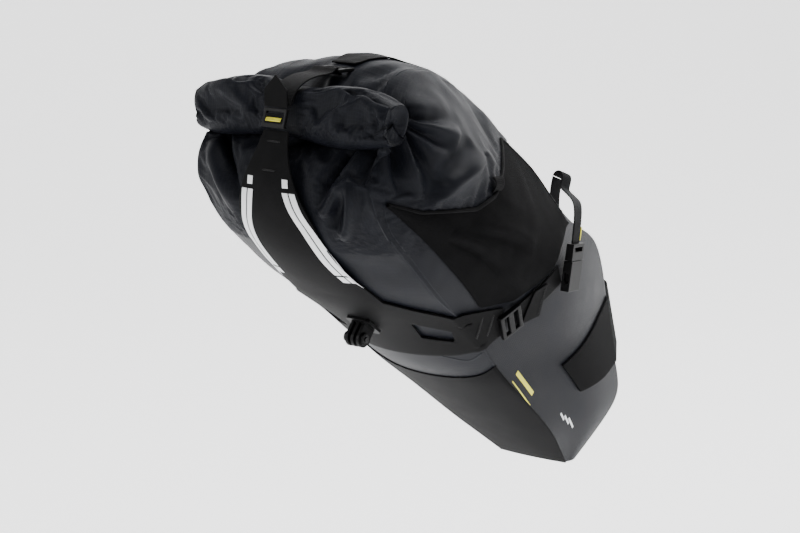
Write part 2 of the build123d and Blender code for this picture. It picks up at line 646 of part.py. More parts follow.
# ---- all the pieces --------------------------------------------------------------------------
def all_pieces():
    """Every node's name and shape."""
    pieces = shell_panels()
    pieces.update(roll_pieces())
    pieces.update(closure_pieces())
    pieces.update(tail_pieces())
    pieces.update(accessory_mount())
    pieces["nose_stiffener"] = nose_stiffener()
    pieces["underside_patch"] = underside_patch()
    pieces["harness_band"] = harness_band()
    pieces["band_tacks"] = band_tacks()

    layer = PATCH + 2 * SKIN_GAP
    strap, tag = rail_strap()
    right = {
        "wing": wing(),
        "wing_tab": sheet_layer("side", layer, layer + 1) & side_outline(WING_TAB),
        "side_webbing": side_strip(WEBBING_START, WEBBING_END, SIDE_WEBBING / 2, layer,
                                   layer + WEBBING),
        "lock_tab": sheet_layer("side", layer + WEBBING + SKIN_GAP,
                                layer + WEBBING + SKIN_GAP + HARNESS) & side_outline(LOCK_TAB),
        "ladder_lock": lock_frame() * framed_lock(LOCK_LENGTH, LOCK_WIDTH),
        "buckle_socket": socket_frame() * buckle_socket(),
        "buckle_plug": socket_frame() * buckle_plug(),
        "rail_strap": strap,
        "rail_tag": tag,
        "rail_anchor": rail_anchor(),
        "post_arm": post_arm(),
    }
    for name, shape in right.items():
        pieces["right_" + name] = shape
        pieces["left_" + name] = mirror(shape, about=Plane.XZ)

    pieces.update(post_flaps())
    return pieces


def print_joint_places():
    """The places that the joints turn and slide about, in metres."""
    inner = flap_pivot(1)
    lock, socket = lock_frame(), socket_frame()
    bolt = mount_frame().from_local_coords(Vector(0, 0, PLATE[2] + PRONG_REACH))
    places = {
        "right flap pivot": flap_pivot(2),
        "left flap pivot": Vector(inner.X, -inner.Y, inner.Z),
        "ladder lock pivot": lock.from_local_coords(Vector(-LOCK_LENGTH / 2, 0, 0)),
        "ladder lock axis": lock.y_dir * 1000,
        "plug slide axis": socket.x_dir * 1000,
        "mount bolt": bolt,
    }
    for name, place in places.items():
        print(name, [round(value / 1000, 6) for value in place])


def main():
    """Write one STEP file per piece."""
    os.makedirs("parts", exist_ok=True)
    for name, shape in all_pieces().items():
        export_step(shape, f"parts/{name}.step")
    print_joint_places()


if __name__ == "__main__":
    main()
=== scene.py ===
"""Looks of the roll-top saddle bag: fabric shell, roll, wings, harness, straps and hardware.

Lengths are in millimetres in the frame of the CAD model, and become metres in new_piece().
The right side is -Y. Pieces on the right are described, and their left twins are mirrored.
"""
import bmesh
import bpy
import math
import numpy as np
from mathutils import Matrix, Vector, noise
from mathutils.bvhtree import BVHTree


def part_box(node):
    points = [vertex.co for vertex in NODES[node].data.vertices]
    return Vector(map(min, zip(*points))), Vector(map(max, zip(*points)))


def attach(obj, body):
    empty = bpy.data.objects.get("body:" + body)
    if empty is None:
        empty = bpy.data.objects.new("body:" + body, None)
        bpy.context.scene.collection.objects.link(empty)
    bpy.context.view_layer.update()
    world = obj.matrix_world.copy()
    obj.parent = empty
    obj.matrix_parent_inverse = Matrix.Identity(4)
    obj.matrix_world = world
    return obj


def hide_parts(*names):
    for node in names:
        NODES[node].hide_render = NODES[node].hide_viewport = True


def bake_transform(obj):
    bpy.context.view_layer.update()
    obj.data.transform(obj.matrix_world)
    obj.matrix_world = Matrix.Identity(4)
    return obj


MM = 0.001
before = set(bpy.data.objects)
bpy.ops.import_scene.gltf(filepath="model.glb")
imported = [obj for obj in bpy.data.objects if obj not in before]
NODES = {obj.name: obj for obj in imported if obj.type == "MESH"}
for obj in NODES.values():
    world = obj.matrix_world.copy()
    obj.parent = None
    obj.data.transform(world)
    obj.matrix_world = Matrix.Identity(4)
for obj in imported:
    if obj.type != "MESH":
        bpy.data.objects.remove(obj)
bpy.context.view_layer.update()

# ---- the shell, from the nose to the mouth ---------------------------------------------------
# Each station: rear seam x, z; front seam x, z; half-widths at the rear seam, in the middle and
# at the front seam; and how far the rear and the front face bulge past their seams.
STATIONS = [
    (-104, -104, -88, -105, 38, 38, 36, 3, 2),
    (-125, -86, -58, -84, 47, 45, 38, 6, 3),
    (-150, -65, -30, -62, 57, 52, 39, 9, 4),
    (-185, -37, -22, -40, 64, 59, 39, 14, 5),
    (-225, -7, -31, -12, 70, 66, 40, 19, 5),
    (-258, 19, -43, 28, 74, 73, 41, 24, 5),
    (-290, 48, -54, 60, 80, 84, 44, 28, 7),
    (-325, 76, -78, 103, 85, 96, 50, 30, 10),
    (-365, 103, -125, 128, 91, 106, 60, 30, 16),
    (-400, 133, -172, 158, 95, 112, 70, 28, 22),
    (-427, 158, -212, 190, 95, 116, 76, 26, 28),
    (-446, 184, -255, 224, 95, 117, 76, 18, 30),
    (-453, 205, -298, 258, 93, 113, 70, 12, 27),
    (-447, 224, -338, 282, 93, 106, 66, 8, 17),
    (-441, 232, -376, 284, 95, 101, 76, 4, 9),
    (-437, 235, -404, 268, 97, 99, 90, 2, 4),
    (-435, 237, -421, 252, 98, 98, 96, 1, 1),
]
SHELL_ROWS = 230
REAR_COLUMNS, SIDE_COLUMNS, FRONT_COLUMNS = 76, 68, 44
SKIN_ROWS = 120
MIDDLE = np.array([-270.0, 0.0, 110.0])      # a point well inside the bag

# distances of the layers from the shell
WING_LIFT, WING_THICKNESS = 0.3, 1.0
HARNESS_LIFT, HARNESS_THICKNESS = 1.6, 1.6
WEBBING_THICKNESS = 1.5
TAB_LIFT = 3.4

# ---- roll ------------------------------------------------------------------------------------
ROLL_X, ROLL_Z = -432.0, 258.0
ROLL_DEPTH, ROLL_HEIGHT, ROLL_LENGTH = 17.6, 22.6, 105.0     # half sizes
ROLL_SQUARE = 2.7            # 2 for an ellipse, more for a boxier section
ROLL_EDGE = 0.30 * math.pi    # where round the section the rolled-up edge lies
ROLL_START, ROLL_GROWTH = 0.84, 0.17     # size of the spiral at its edge, and its growth in a turn
ROLL_SHARES = [(-1, 0.84), (-0.9, 0.99), (0, 1), (0.9, 0.99), (1, 0.84)]

# ---- harness: pairs of points on its upper and lower edge, from the middle to the right end ---
BAND_PAIRS = [
    ((-397, 0, 99.5), (-302, 0, 34)),
    ((-391, -26, 99.5), (-300, -21, 35)),
    ((-381, -48, 97), (-296, -42, 36)),
    ((-363, -63, 90), (-291, -58, 38)),
    ((-342, -77, 85), (-286, -74, 43)),
    ((-318, -86, 82), (-276, -82, 49)),
    ((-296, -89, 81), (-269, -84, 52)),
    ((-275, -91, 80), (-262, -86, 54)),
]
TAIL_PAIR = 2                # the tail starts at this pair
TAIL = [                     # centre x, z, half-width, drop of the edges
    (-397.0, 99.5, 50, 8.0),
    (-413.5, 113.0, 44, 6.0),
    (-433.0, 130.0, 42, 5.5),
    (-450.0, 148.5, 42, 5.5),
    (-461.5, 168.0, 40, 4.0),
    (-468.0, 188.0, 34, 2.5),
    (-468.5, 207.0, 26, 1.0),
    (-464.0, 226.0, 18, 0.5),
    (-457.5, 244.0, 13, 0.2),
]
TAIL_LIFT = 0.5
WINDOW = [(42, 55), (66, 52), (72, 64), (48, 72)]
STRIP_LINE = [(22.5, 196), (27, 180), (33, 165), (36, 149), (37, 132), (40, 117)]
STRIP_BREAK = (123.0, 121.4)
STRIP_FOOT = [(38.6, 121.4), (39.8, 115.5)]
STRIP_BLOCK = [(19.5, 200), (19.0, 207)]
STRIP_WIDTH, STRIP_SHIFT = 5.8, 3.6

CLOSURE = [(-391.5, 284.5, 12), (-394.5, 287.2, 12), (-397.5, 290.4, 12.5), (-401, 288.6, 13),
           (-408, 286.4, 13), (-418, 286, 13), (-436, 282.5, 12.5), (-448.5, 274.5, 12.5),
           (-454.5, 264, 12.5)]
ANCHOR_REACH, ANCHOR_HALF = (-375.6, -312.0), (13.0, 30.0)      # from the lock forwards

# cloth passes: pressure, slack as a share of each edge, furthest move and frames
ROLL_CLOTH = (2.5, 0.10, 3.5, 16)
SHELL_CLOTH = (1.2, 0.045, 3.0, 12)

# ---- outlines on the right side, x and z ------------------------------------------------------
WING_LOW = [(-437, 190), (-304, 84), (-262, 84), (-228, 100), (-196, 120), (-158, 134)]
WING_HIGH = [(-437, 191.5), (-404, 182), (-344, 178), (-318, 186), (-290, 206), (-264, 225),
             (-217, 193), (-172, 154), (-158.5, 135.5)]
WING_TAB = [(-322, 189), (-306, 189), (-306, 200), (-322, 200)]
WEBBING_START, WEBBING_END, WEBBING_WIDTH = (-256, 67), (-205, 100), 20.0
LOCK_TAB = [(-244, 60), (-241, 90), (-226, 95), (-222, 64)]
PATCH_TOP = [(-259, 0, 8), (-259, -26, 8), (-259, -58, 13), (-262, -74, 24)]
POST_HIGH = [(-157, 4), (-127, 16), (-85, 36), (-51, 47)]
POST_LOW = [(-118, -29), (-98, -28), (-70, -26), (-31, -19)]
POST_RADIUS, POST_LEAN = 13.6, 16.5
STRAP_LOW, STRAP_HIGH, STRAP_THICKNESS = -16.0, 49.0, 2.0
POST_MEET, FLAP_LAP = -62.0, 50.0
RAIL_POINT, RAIL_SLOPE, RAIL_RADIUS = (-97.0, -24.0, 164.0), 21.0, 3.6
RAIL_WEBBING = 15.0

# ---- folds in the fabric ----------------------------------------------------------------------
# Each fold: points along it, its half-width, its height, and how it fades: "both" ends, or "end".
SHELL_FOLDS = [
    ([(-414, -90, 262), (-395, -104, 258), (-375, -103, 254), (-345, -98, 249)], 8, -10.9, "end"),
    ([(-414, -96, 257), (-402, -105, 249), (-388, -110, 241), (-366, -114, 229)], 7, -11.6, "end"),
    ([(-412, -97, 260), (-398, -105, 253), (-380, -108, 246), (-352, -106, 238)], 6, 5.1, "end"),
    ([(-419, -98, 253), (-418, -103, 237), (-414, -107, 217), (-404, -108, 188)], 6, 9.4, "end"),
    ([(-424, -97, 250), (-424, -100, 234), (-426, -102, 214), (-424, -103, 196)], 6, -10.2, "end"),
    ([(-414, -101, 248), (-408, -106, 233), (-400, -110, 218), (-390, -112, 200)], 7, -10.2, "end"),
    ([(-406, -107, 187), (-394, -111, 187), (-381, -115, 199), (-355, -116, 211),
      (-304, -102, 217)], 8, 6.5, "both"),
    ([(-390, -113, 212), (-368, -116, 222), (-341, -108, 232)], 8, -6.5, "both"),
    ([(-440, -66, 236), (-450, -61, 221), (-459, -55, 205), (-461, -50, 184)], 7, -13, "end"),
    ([(-459, -46, 178), (-459, -55, 186), (-458, -66, 199), (-453, -77, 213)], 5, 8.7, "both"),
    ([(-453, -77, 214), (-455, -77, 198), (-453, -72, 180), (-444, -59, 158)], 5, 8.7, "both"),
    ([(-455, -70, 200), (-455, -64, 186), (-450, -58, 168)], 6, -8.7, "both"),
    ([(-436, -88, 236), (-446, -88, 222), (-452, -86, 205)], 6, -7.2, "end"),
    ([(-380, -48, 284), (-345, -50, 284), (-310, -52, 268)], 9, -2.9, "both"),
    ([(-372, -66, 276), (-345, -72, 266), (-320, -78, 250)], 9, 2.6, "both"),
    ([(-330, -30, 291), (-290, -20, 276), (-250, -10, 246)], 16, -2.3, "both"),
]
LEFT_FOLDS = [
    ([(-440, 74, 234), (-452, 62, 221), (-460, 48, 203), (-460, 42, 183), (-444, 52, 154)],
     7, -12.3, "end"),
    ([(-444, 84, 228), (-457, 72, 212), (-462, 60, 192), (-455, 60, 168)], 7, 5.8, "both"),
]
WING_FOLDS = [
    ([(-372, -106, 156), (-345, -106, 145), (-312, -104, 127), (-285, -100, 108),
      (-254, -96, 88)], 3.6, -4.5, "both"),
    ([(-368, -108, 162), (-340, -108, 151), (-306, -105, 133), (-278, -101, 113),
      (-250, -97, 94)], 5.0, 8.5, "both"),
    ([(-350, -108, 162), (-325, -110, 154), (-290, -110, 142), (-262, -108, 128)],
     3.4, -4.0, "both"),
    ([(-346, -108, 168), (-318, -110, 160), (-284, -108, 148), (-256, -104, 134)],
     5.0, 7.5, "both"),
    ([(-322, -112, 190), (-300, -110, 176), (-270, -104, 166)], 5.0, 2.6, "end"),
    ([(-330, -112, 182), (-318, -112, 168), (-300, -110, 160)], 4.0, 2.0, "end"),
]
SEAM_TAPE = [(-440, 205), (-434, 176), (-410, 148), (-372, 113), (-338, 86)]
LOWER_SEAM = [(-303, 0, 33), (-292, -41, 31), (-279, -60, 28), (-280, -74, 38)]
TOP_SEAM = [(-411, -64, 260), (-388, -60, 278), (-350, -62, 280), (-300, -66, 262),
            (-250, -74, 224), (-205, -73, 184)]
TACK_X = (-300.0, -286.0)
TACK_Z = (236, 213)          # of the two on the tail
HOOK_OUT, HOOK_DOWN = (-0.96, 0, 0.28), (-0.28, 0, -0.96)
SOCKET_PLACE, SOCKET_LIFT = (-192.0, 97.0), 8.0
YELLOW_BARS = 2
PRINTED_BARS = [((-226, 10), (-196, -16), 2.2), ((-232, 3), (-198, -27), 0.7),
                ((-142, -46), (-134, -54), 1.1), ((-134, -50), (-124, -60), 1.1),
                ((-126, -54), (-114, -66), 1.1)]
PINCHES = [((-422, -98, 248), 26, -5.0), ((-404, -70, 268), 16, -2.5)]


# ---- studio: lights by name, place, size and power; lengths in metres --------------------------
LIGHTS = [
    ("top_softbox", (-0.15, -0.15, 1.5), (0.9, 0.9), 31),
    ("right_softbox", (0.25, -1.7, 0.9), (0.7, 1.2), 11),
    ("rear_softbox", (-1.7, 1.1, 0.75), (0.6, 1.2), 16),
    ("front_softbox", (1.3, -0.2, 1.0), (0.8, 1.4), 13),
    ("low_softbox", (-1.6, -1.3, -0.1), (1.2, 0.4), 3),
]
LIGHT_TARGET = (-0.25, 0, 0.09)
FLOOR_LEVEL, PAPER_HALF, PAPER_HEIGHT = -0.30, 6.0, 4.0
PAPER_BEND, PAPER_RADIUS = 1.2, 1.5      # where the floor starts to rise, and the rise's radius
CAMERA_PLACE, CAMERA_HEADING = (-1.91329, -1.34868, 0.51653), (0.7527, 0.63, -0.1908)
CAMERA_LENS = 110.25


# ---- curves and surfaces ----------------------------------------------------------------------
def natural_spline(knots, values, at):
    """A natural cubic spline through the rows of values, read at the places in at."""
    knots = np.asarray(knots, float)
    values = np.asarray(values, float)
    at = np.asarray(at, float)
    count = len(knots)
    step = np.diff(knots)
    matrix = np.eye(count)
    right = np.zeros_like(values)
    for i in range(1, count - 1):
        matrix[i, i - 1:i + 2] = step[i - 1], 2 * (step[i - 1] + step[i]), step[i]
        slopes = (values[i + 1] - values[i]) / step[i] - (values[i] - values[i - 1]) / step[i - 1]
        right[i] = 6 * slopes
    bend = np.linalg.solve(matrix, right)
    i = np.clip(np.searchsorted(knots, at) - 1, 0, count - 2)
    a = ((knots[i + 1] - at) / step[i])[:, None]
    b = ((at - knots[i]) / step[i])[:, None]
    curve = ((a ** 3 - a) * bend[i] + (b ** 3 - b) * bend[i + 1]) * (step[i] ** 2)[:, None] / 6
    return a * values[i] + b * values[i + 1] + curve


def lengths_along(points):
    """The distance of each point from the first, along the chain."""
    steps = np.linalg.norm(np.diff(np.asarray(points, float), axis=0), axis=1)
    return np.concatenate([[0.0], np.cumsum(steps)])


def smooth_line(points, count):
    """A smooth line through the points, as evenly spaced points."""
    points = np.asarray(points, float)
    knots = lengths_along(points)
    return natural_spline(knots, points, np.linspace(0, knots[-1], count))


def straight_chain(points, count):
    """Evenly spaced points along straight runs between the points."""
    points = np.asarray(points, float)
    knots = lengths_along(points)
    at = np.linspace(0, knots[-1], count)
    return np.stack([np.interp(at, knots, column) for column in points.T], axis=-1)


def station_ring(station, grow, columns):
    """The closed outline of the shell at a station: rear, left side, front, right side."""
    rear_x, rear_z, front_x, front_z, rear_half, mid_half, front_half, rear_rise, front_rise = station
    run = np.array([front_x - rear_x, front_z - rear_z])
    length = np.linalg.norm(run)
    run = run / length
    rear_half, mid_half, front_half = rear_half + grow, mid_half + grow, front_half + grow
    crown = [(-1, 0), (-0.5, 0.75), (0, 1), (0.5, 0.75), (1, 0)]
    rear = [(-(grow + rear_rise * rise), rear_half * across) for across, rise in crown]
    front = [(length + grow + front_rise * rise, -front_half * across) for across, rise in crown]
    side = [(-grow, rear_half), (0.25 * length, rear_half + 0.7 * (mid_half - rear_half)),
            (0.52 * length, mid_half), (0.78 * length, front_half + 0.58 * (mid_half - front_half)),
            (length + grow, front_half)]
    rear_columns, side_columns, front_columns = columns
    left = smooth_line(side, side_columns + 1)
    right = left[::-1] * (1, -1)
    ring = np.vstack([smooth_line(rear, rear_columns + 1)[:-1], left[:-1],
                      smooth_line(front, front_columns + 1)[:-1], right[:-1]])
    along, out = ring.T
    return np.stack([rear_x + run[0] * along, out, rear_z + run[1] * along], axis=-1)


def shell_grid(grow, rows, columns):
    """Points on the shell grown by a distance, a row of them for each level."""
    table = np.array(STATIONS, float)
    middles = (table[:, 0:2] + table[:, 2:4]) / 2
    knots = lengths_along(middles)
    levels = natural_spline(knots, table, np.linspace(0, knots[-1], rows))
    return np.array([station_ring(level, grow, columns) for level in levels])


def grid_faces(rows, columns, closed=False):
    """Quads of a grid, wound so that row x column points out of the shell."""
    faces = []
    for row in range(rows - 1):
        for column in range(columns if closed else columns - 1):
            after = (column + 1) % columns
            faces.append((row * columns + column, (row + 1) * columns + column,
                          (row + 1) * columns + after, row * columns + after))
    return faces


skins = {}


def skin(grow):
    """The smooth shell grown by a distance, as something to cast rays on."""
    if grow not in skins:
        grid = shell_grid(grow, SKIN_ROWS, (40, 40, 30))
        faces = grid_faces(grid.shape[0], grid.shape[1], closed=True)
        skins[grow] = BVHTree.FromPolygons(grid.reshape(-1, 3).tolist(), faces)
    return skins[grow]


def nearest_on(tree, points):
    """The nearest point of a surface to each point."""
    flat = np.asarray(points, float).reshape(-1, 3)
    found = [tree.find_nearest(Vector(point))[0] for point in flat]
    return np.array(found).reshape(np.shape(points))


def cast(tree, starts, direction):
    """Where rays from the starts first meet a surface, or the nearest point where they miss."""
    found = []
    for start in starts:
        hit = tree.ray_cast(Vector(start), Vector(direction))[0]
        if hit is None:
            hit = tree.find_nearest(Vector(start) + Vector(direction) * 200)[0]
        found.append(hit)
    return np.array(found)


def on_right_side(places, grow):
    """Points on the right side at places given as x and z."""
    places = np.asarray(places, float)
    flat = places.reshape(-1, 2)
    starts = np.stack([flat[:, 0], np.full(len(flat), -300.0), flat[:, 1]], axis=-1)
    return cast(skin(grow), starts, (0, 1, 0)).reshape(*places.shape[:-1], 3)


def ruled(low, high, rows):
    """A grid between two chains of as many points."""
    share = np.linspace(0, 1, rows)[:, None, None]
    return low[None] * (1 - share) + high[None] * share


def mirrored(points):
    """The left twin of points on the right."""
    return np.asarray(points, float) * (1, -1, 1)


def grid_normals(grid, closed=False):
    """Unit normals of a grid of points."""
    down = np.gradient(grid, axis=0)
    if closed:
        across = (np.roll(grid, -1, axis=1) - np.roll(grid, 1, axis=1)) / 2
    else:
        across = np.gradient(grid, axis=1)
    normals = np.cross(down, across)
    return normals / np.maximum(np.linalg.norm(normals, axis=-1, keepdims=True), 1e-9)


def folded(points, folds):
    """How far each point is pushed along its normal by the folds near it."""
    flat = points.reshape(-1, 3)
    push = np.zeros(len(flat))
    for route, half_width, height, fade in folds:
        line = smooth_line(route, 26)
        best = np.full(len(flat), 1e9)
        place = np.zeros(len(flat))
        for i in range(len(line) - 1):
            run = line[i + 1] - line[i]
            share = np.clip((flat - line[i]) @ run / (run @ run), 0, 1)
            gap = np.linalg.norm(flat - line[i] - share[:, None] * run, axis=1)
            near = gap < best
            best[near] = gap[near]
            place[near] = (i + share[near]) / (len(line) - 1)
        taper = np.sin(np.pi * place) ** 0.7 if fade == "both" else np.cos(np.pi / 2 * place) ** 0.8
        width = half_width * (0.45 + 0.75 * place) if fade == "end" else half_width
        push += height * taper * np.exp(-(best / width) ** 2)
    return push.reshape(points.shape[:-1])


def fabric_noise(points, scale, amount, seed, stretch=(1, 1, 1)):
    """Soft unevenness of a fabric surface, the same each time."""
    flat = points.reshape(-1, 3) * np.array(stretch) / scale
    shift = Vector((seed * 7.3, seed * 3.1, seed * 5.7))
    values = [noise.noise(Vector(point) + shift) for point in flat]
    return amount * np.array(values).reshape(points.shape[:-1])


# ---- making pieces ----------------------------------------------------------------------------
def new_piece(name, points, faces, uv, material):
    """A mesh object from points in millimetres, with a weave coordinate at each face corner."""
    mesh = bpy.data.meshes.new(name)
    mesh.from_pydata((np.asarray(points) * MM).tolist(), [], [tuple(face) for face in faces])
    layer = mesh.uv_layers.new(name="weave")
    layer.data.foreach_set("uv", np.asarray(uv, np.float32).ravel())
    mesh.polygons.foreach_set("use_smooth", [True] * len(mesh.polygons))
    mesh.materials.append(material)
    mesh.validate()
    mesh.update()
    piece = bpy.data.objects.new(name, mesh)
    bpy.context.scene.collection.objects.link(piece)
    return piece


def grid_uv(grid, closed=False):
    """Weave coordinates of a grid in millimetres: around the rows and along the columns."""
    rows, columns = grid.shape[:2]
    middle_row, middle_column = grid[rows // 2], grid[:, columns // 2]
    across = lengths_along(np.vstack([middle_row, middle_row[:1]]) if closed else middle_row)
    along = lengths_along(middle_column)
    return across, along


def grid_piece(name, grid, material, closed=False):
    """A piece whose surface is a grid of points, facing out of the bag."""
    rows, columns = grid.shape[:2]
    faces = np.array(grid_faces(rows, columns, closed))
    across, along = grid_uv(grid, closed)
    corner_rows, corner_columns = faces // columns, faces % columns
    if closed:
        wrapped = (corner_columns == 0) & (corner_columns.max(axis=1, keepdims=True) == columns - 1)
        corner_columns = np.where(wrapped, columns, corner_columns)
    uv = np.stack([across[corner_columns], along[corner_rows]], axis=-1)
    outward = grid_normals(grid, closed)
    if np.mean(np.sum(outward * (grid - MIDDLE), axis=-1)) < 0:
        faces, uv = faces[:, ::-1], uv[:, ::-1]
    return new_piece(name, grid.reshape(-1, 3), faces, uv, material)


def thicken(piece, thickness, edge=0.35, inward=False):
    """Give a sheet its thickness, with softened edges."""
    solid = piece.modifiers.new("thickness", "SOLIDIFY")
    solid.thickness = thickness * MM
    solid.offset = -1 if inward else 1
    solid.use_even_offset = False
    bevel = piece.modifiers.new("edge", "BEVEL")
    bevel.width = edge * MM
    bevel.segments = 2
    bevel.limit_method = "ANGLE"
    bevel.angle_limit = math.radians(50)


def softened(node, bevel, material, body):
    """A moulded or machined piece: the CAD node's shape with rounded edges."""
    source = NODES[node].data
    mesh = bpy.data.meshes.new(node + "_moulded")
    work = bmesh.new()
    work.from_mesh(source)
    bmesh.ops.remove_doubles(work, verts=work.verts, dist=1e-6)
    bmesh.ops.dissolve_limit(work, angle_limit=math.radians(3), verts=work.verts, edges=work.edges)
    sharp = [edge for edge in work.edges
             if len(edge.link_faces) == 2 and edge.calc_face_angle(0) > math.radians(30)]
    bmesh.ops.bevel(work, geom=sharp, offset=bevel * MM, segments=3, profile=0.6, affect="EDGES",
                    clamp_overlap=True)
    bmesh.ops.triangulate(work, faces=[face for face in work.faces if len(face.verts) > 4])
    for face in work.faces:
        face.smooth = True
    work.to_mesh(mesh)
    work.free()
    mesh.materials.append(material)
    piece = bpy.data.objects.new(mesh.name, mesh)
    bpy.context.scene.collection.objects.link(piece)
    normals = piece.modifiers.new("normals", "WEIGHTED_NORMAL")
    normals.keep_sharp = False
    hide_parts(node)
    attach(piece, body)


def thread_mesh(name, runs, radius, material, body):
    """Sewing threads: each run is the two ends of one stitch and the surface's normal there."""
    points, faces, sides = [], [], 6
    profile = [(0.0, 0.35), (0.15, 0.85), (0.5, 1.0), (0.85, 0.85), (1.0, 0.35)]
    for start, end, normal in runs:
        run = end - start
        across = np.cross(run / np.linalg.norm(run), normal)
        base = len(points)
        for share, fat in profile:
            arch = math.sin(math.pi * share) * radius * 0.8
            centre = start + run * share + normal * (arch - radius * 0.2)
            for side in range(sides):
                turn = 2 * math.pi * side / sides
                points.append(centre + (across * math.cos(turn) + normal * math.sin(turn))
                              * radius * fat)
        for ring in range(len(profile) - 1):
            for side in range(sides):
                after = (side + 1) % sides
                low = base + ring * sides
                faces.append((low + side, low + after, low + sides + after, low + sides + side))
        faces.append(tuple(base + side for side in reversed(range(sides))))
        faces.append(tuple(base + (len(profile) - 1) * sides + side for side in range(sides)))
    uv = [points[index][:2] for face in faces for index in face]
    piece = new_piece(name, points, faces, uv, material)
    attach(piece, body)
    return piece


def stitches_along(line, normals, pitch=3.2, share=0.72):
    """The stitches of a sewn line on a surface."""
    knots = lengths_along(line)
    runs = []
    for start in np.arange(0, knots[-1] - pitch * share, pitch):
        ends = []
        for at in (start, start + pitch * share):
            ends.append(np.array([np.interp(at, knots, column) for column in line.T]))
        normal = np.array([np.interp(start, knots, column) for column in normals.T])
        runs.append((ends[0], ends[1], normal / np.linalg.norm(normal)))
    return runs


def bar_tack(centre, along, across, normal, length, width, threads):
    """The close zigzag stitches of a bar tack."""
    runs = []
    for i in range(threads):
        at = centre + along * length * (i / (threads - 1) - 0.5)
        lean = along * length / threads * 0.5
        runs.append((at - across * width / 2 - lean, at + across * width / 2 + lean, normal))
    for edge in (-0.32, 0.32):
        middle = centre + across * width * edge - normal * 0.05
        runs.append((middle - along * length / 2, middle + along * length / 2, normal))
    return runs


def frame_on(tree, place, direction, along):
    """A point of a surface, its normal, and two directions in it."""
    point, normal = tree.ray_cast(Vector(place), Vector(direction))[:2]
    if normal.dot(Vector(direction)) > 0:
        normal = -normal
    along = Vector(along)
    along = (along - normal * along.dot(normal)).normalized()
    return np.array(point), np.array(normal), np.array(along), np.array(normal.cross(along))


# ---- materials --------------------------------------------------------------------------------
class Graph:
    """A material's nodes, made in the order that they are used."""

    def __init__(self, name, colour, roughness, **sockets):
        self.material = bpy.data.materials.new(name)
        self.material.use_nodes = True
        self.tree = self.material.node_tree
        self.shader = self.tree.nodes["Principled BSDF"]
        self.shader.inputs["Base Color"].default_value = (*colour, 1)
        self.shader.inputs["Roughness"].default_value = roughness
        for socket, value in sockets.items():
            self.shader.inputs[socket.replace("_", " ")].default_value = value

    def node(self, kind, **settings):
        made = self.tree.nodes.new(kind)
        for key, value in settings.items():
            setattr(made, key, value)
        return made

    def put(self, socket, value):
        if isinstance(value, bpy.types.NodeSocket):
            self.tree.links.new(value, socket)
        else:
            socket.default_value = value

    def math(self, operation, *values):
        made = self.node("ShaderNodeMath", operation=operation)
        for socket, value in zip(made.inputs, values):
            self.put(socket, value)
        return made.outputs[0]

    def weave_axes(self):
        """Both weave coordinates, in millimetres."""
        coordinates = self.node("ShaderNodeUVMap", uv_map="weave")
        parts = self.node("ShaderNodeSeparateXYZ")
        self.put(parts.inputs[0], coordinates.outputs[0])
        return parts.outputs[0], parts.outputs[1]

    def noise(self, scale, detail=3.0):
        """Noise through the object's own space; scale is in patterns a metre."""
        coordinates = self.node("ShaderNodeTexCoord")
        made = self.node("ShaderNodeTexNoise")
        self.put(made.inputs["Vector"], coordinates.outputs["Object"])
        self.put(made.inputs["Scale"], scale)
        self.put(made.inputs["Detail"], detail)
        return made.outputs[0]

    def threads(self, axis, pitch, power=1.0):
        """Ridges of threads across an axis, from 0 to 1."""
        wave = self.math("SINE", self.math("MULTIPLY", axis, math.pi / pitch))
        return self.math("POWER", self.math("ABSOLUTE", wave), power)

    def colours(self, factor, dark, light, low=0.3, high=0.7):
        """The base colour from a factor, between two colours."""
        ramp = self.node("ShaderNodeValToRGB")
        ramp.color_ramp.elements[0].position = low
        ramp.color_ramp.elements[0].color = (*dark, 1)
        ramp.color_ramp.elements[1].position = high
        ramp.color_ramp.elements[1].color = (*light, 1)
        self.put(ramp.inputs[0], factor)
        self.put(self.shader.inputs["Base Color"], ramp.outputs[0])

    def roughness(self, factor, low, high):
        made = self.node("ShaderNodeMapRange")
        self.put(made.inputs["Value"], factor)
        self.put(made.inputs["To Min"], low)
        self.put(made.inputs["To Max"], high)
        self.put(self.shader.inputs["Roughness"], made.outputs[0])

    def bump(self, height, depth):
        """Relief of the surface; depth is in millimetres."""
        made = self.node("ShaderNodeBump")
        self.put(made.inputs["Height"], height)
        self.put(made.inputs["Distance"], depth * MM)
        self.put(self.shader.inputs["Normal"], made.outputs[0])


def woven(name, dark, light, pitch, depth, roughness, grid=None, **sockets):
    """Fabric: a plain weave, with a ripstop grid if given, and uneven colour."""
    graph = Graph(name, light, roughness[0], **sockets)
    u, v = graph.weave_axes()
    warp, weft = graph.threads(u, pitch), graph.threads(v, pitch)
    height = graph.math("MULTIPLY", warp, weft)
    if grid:
        lines = graph.math("MAXIMUM", graph.threads(u, grid, 24.0), graph.threads(v, grid, 24.0))
        height = graph.math("MAXIMUM", graph.math("MULTIPLY", height, 0.45), lines)
    mottle = graph.noise(60.0, 4.0)
    shade = graph.math("ADD", graph.math("MULTIPLY", height, 0.35), graph.math("MULTIPLY", mottle, 0.65))
    graph.colours(shade, dark, light)
    graph.roughness(mottle, *roughness)
    graph.bump(height, depth)
    return graph.material


def coated(name, dark, light, grain, depth, roughness, **sockets):
    """Coated harness fabric or moulded plastic: a fine grain and faint scuffs."""
    graph = Graph(name, light, roughness[0], **sockets)
    fine = graph.noise(grain, 5.0)
    scuffs = graph.noise(45.0, 6.0)
    graph.colours(scuffs, dark, light, 0.35, 0.75)
    graph.roughness(scuffs, *roughness)
    graph.bump(fine, depth)
    return graph.material


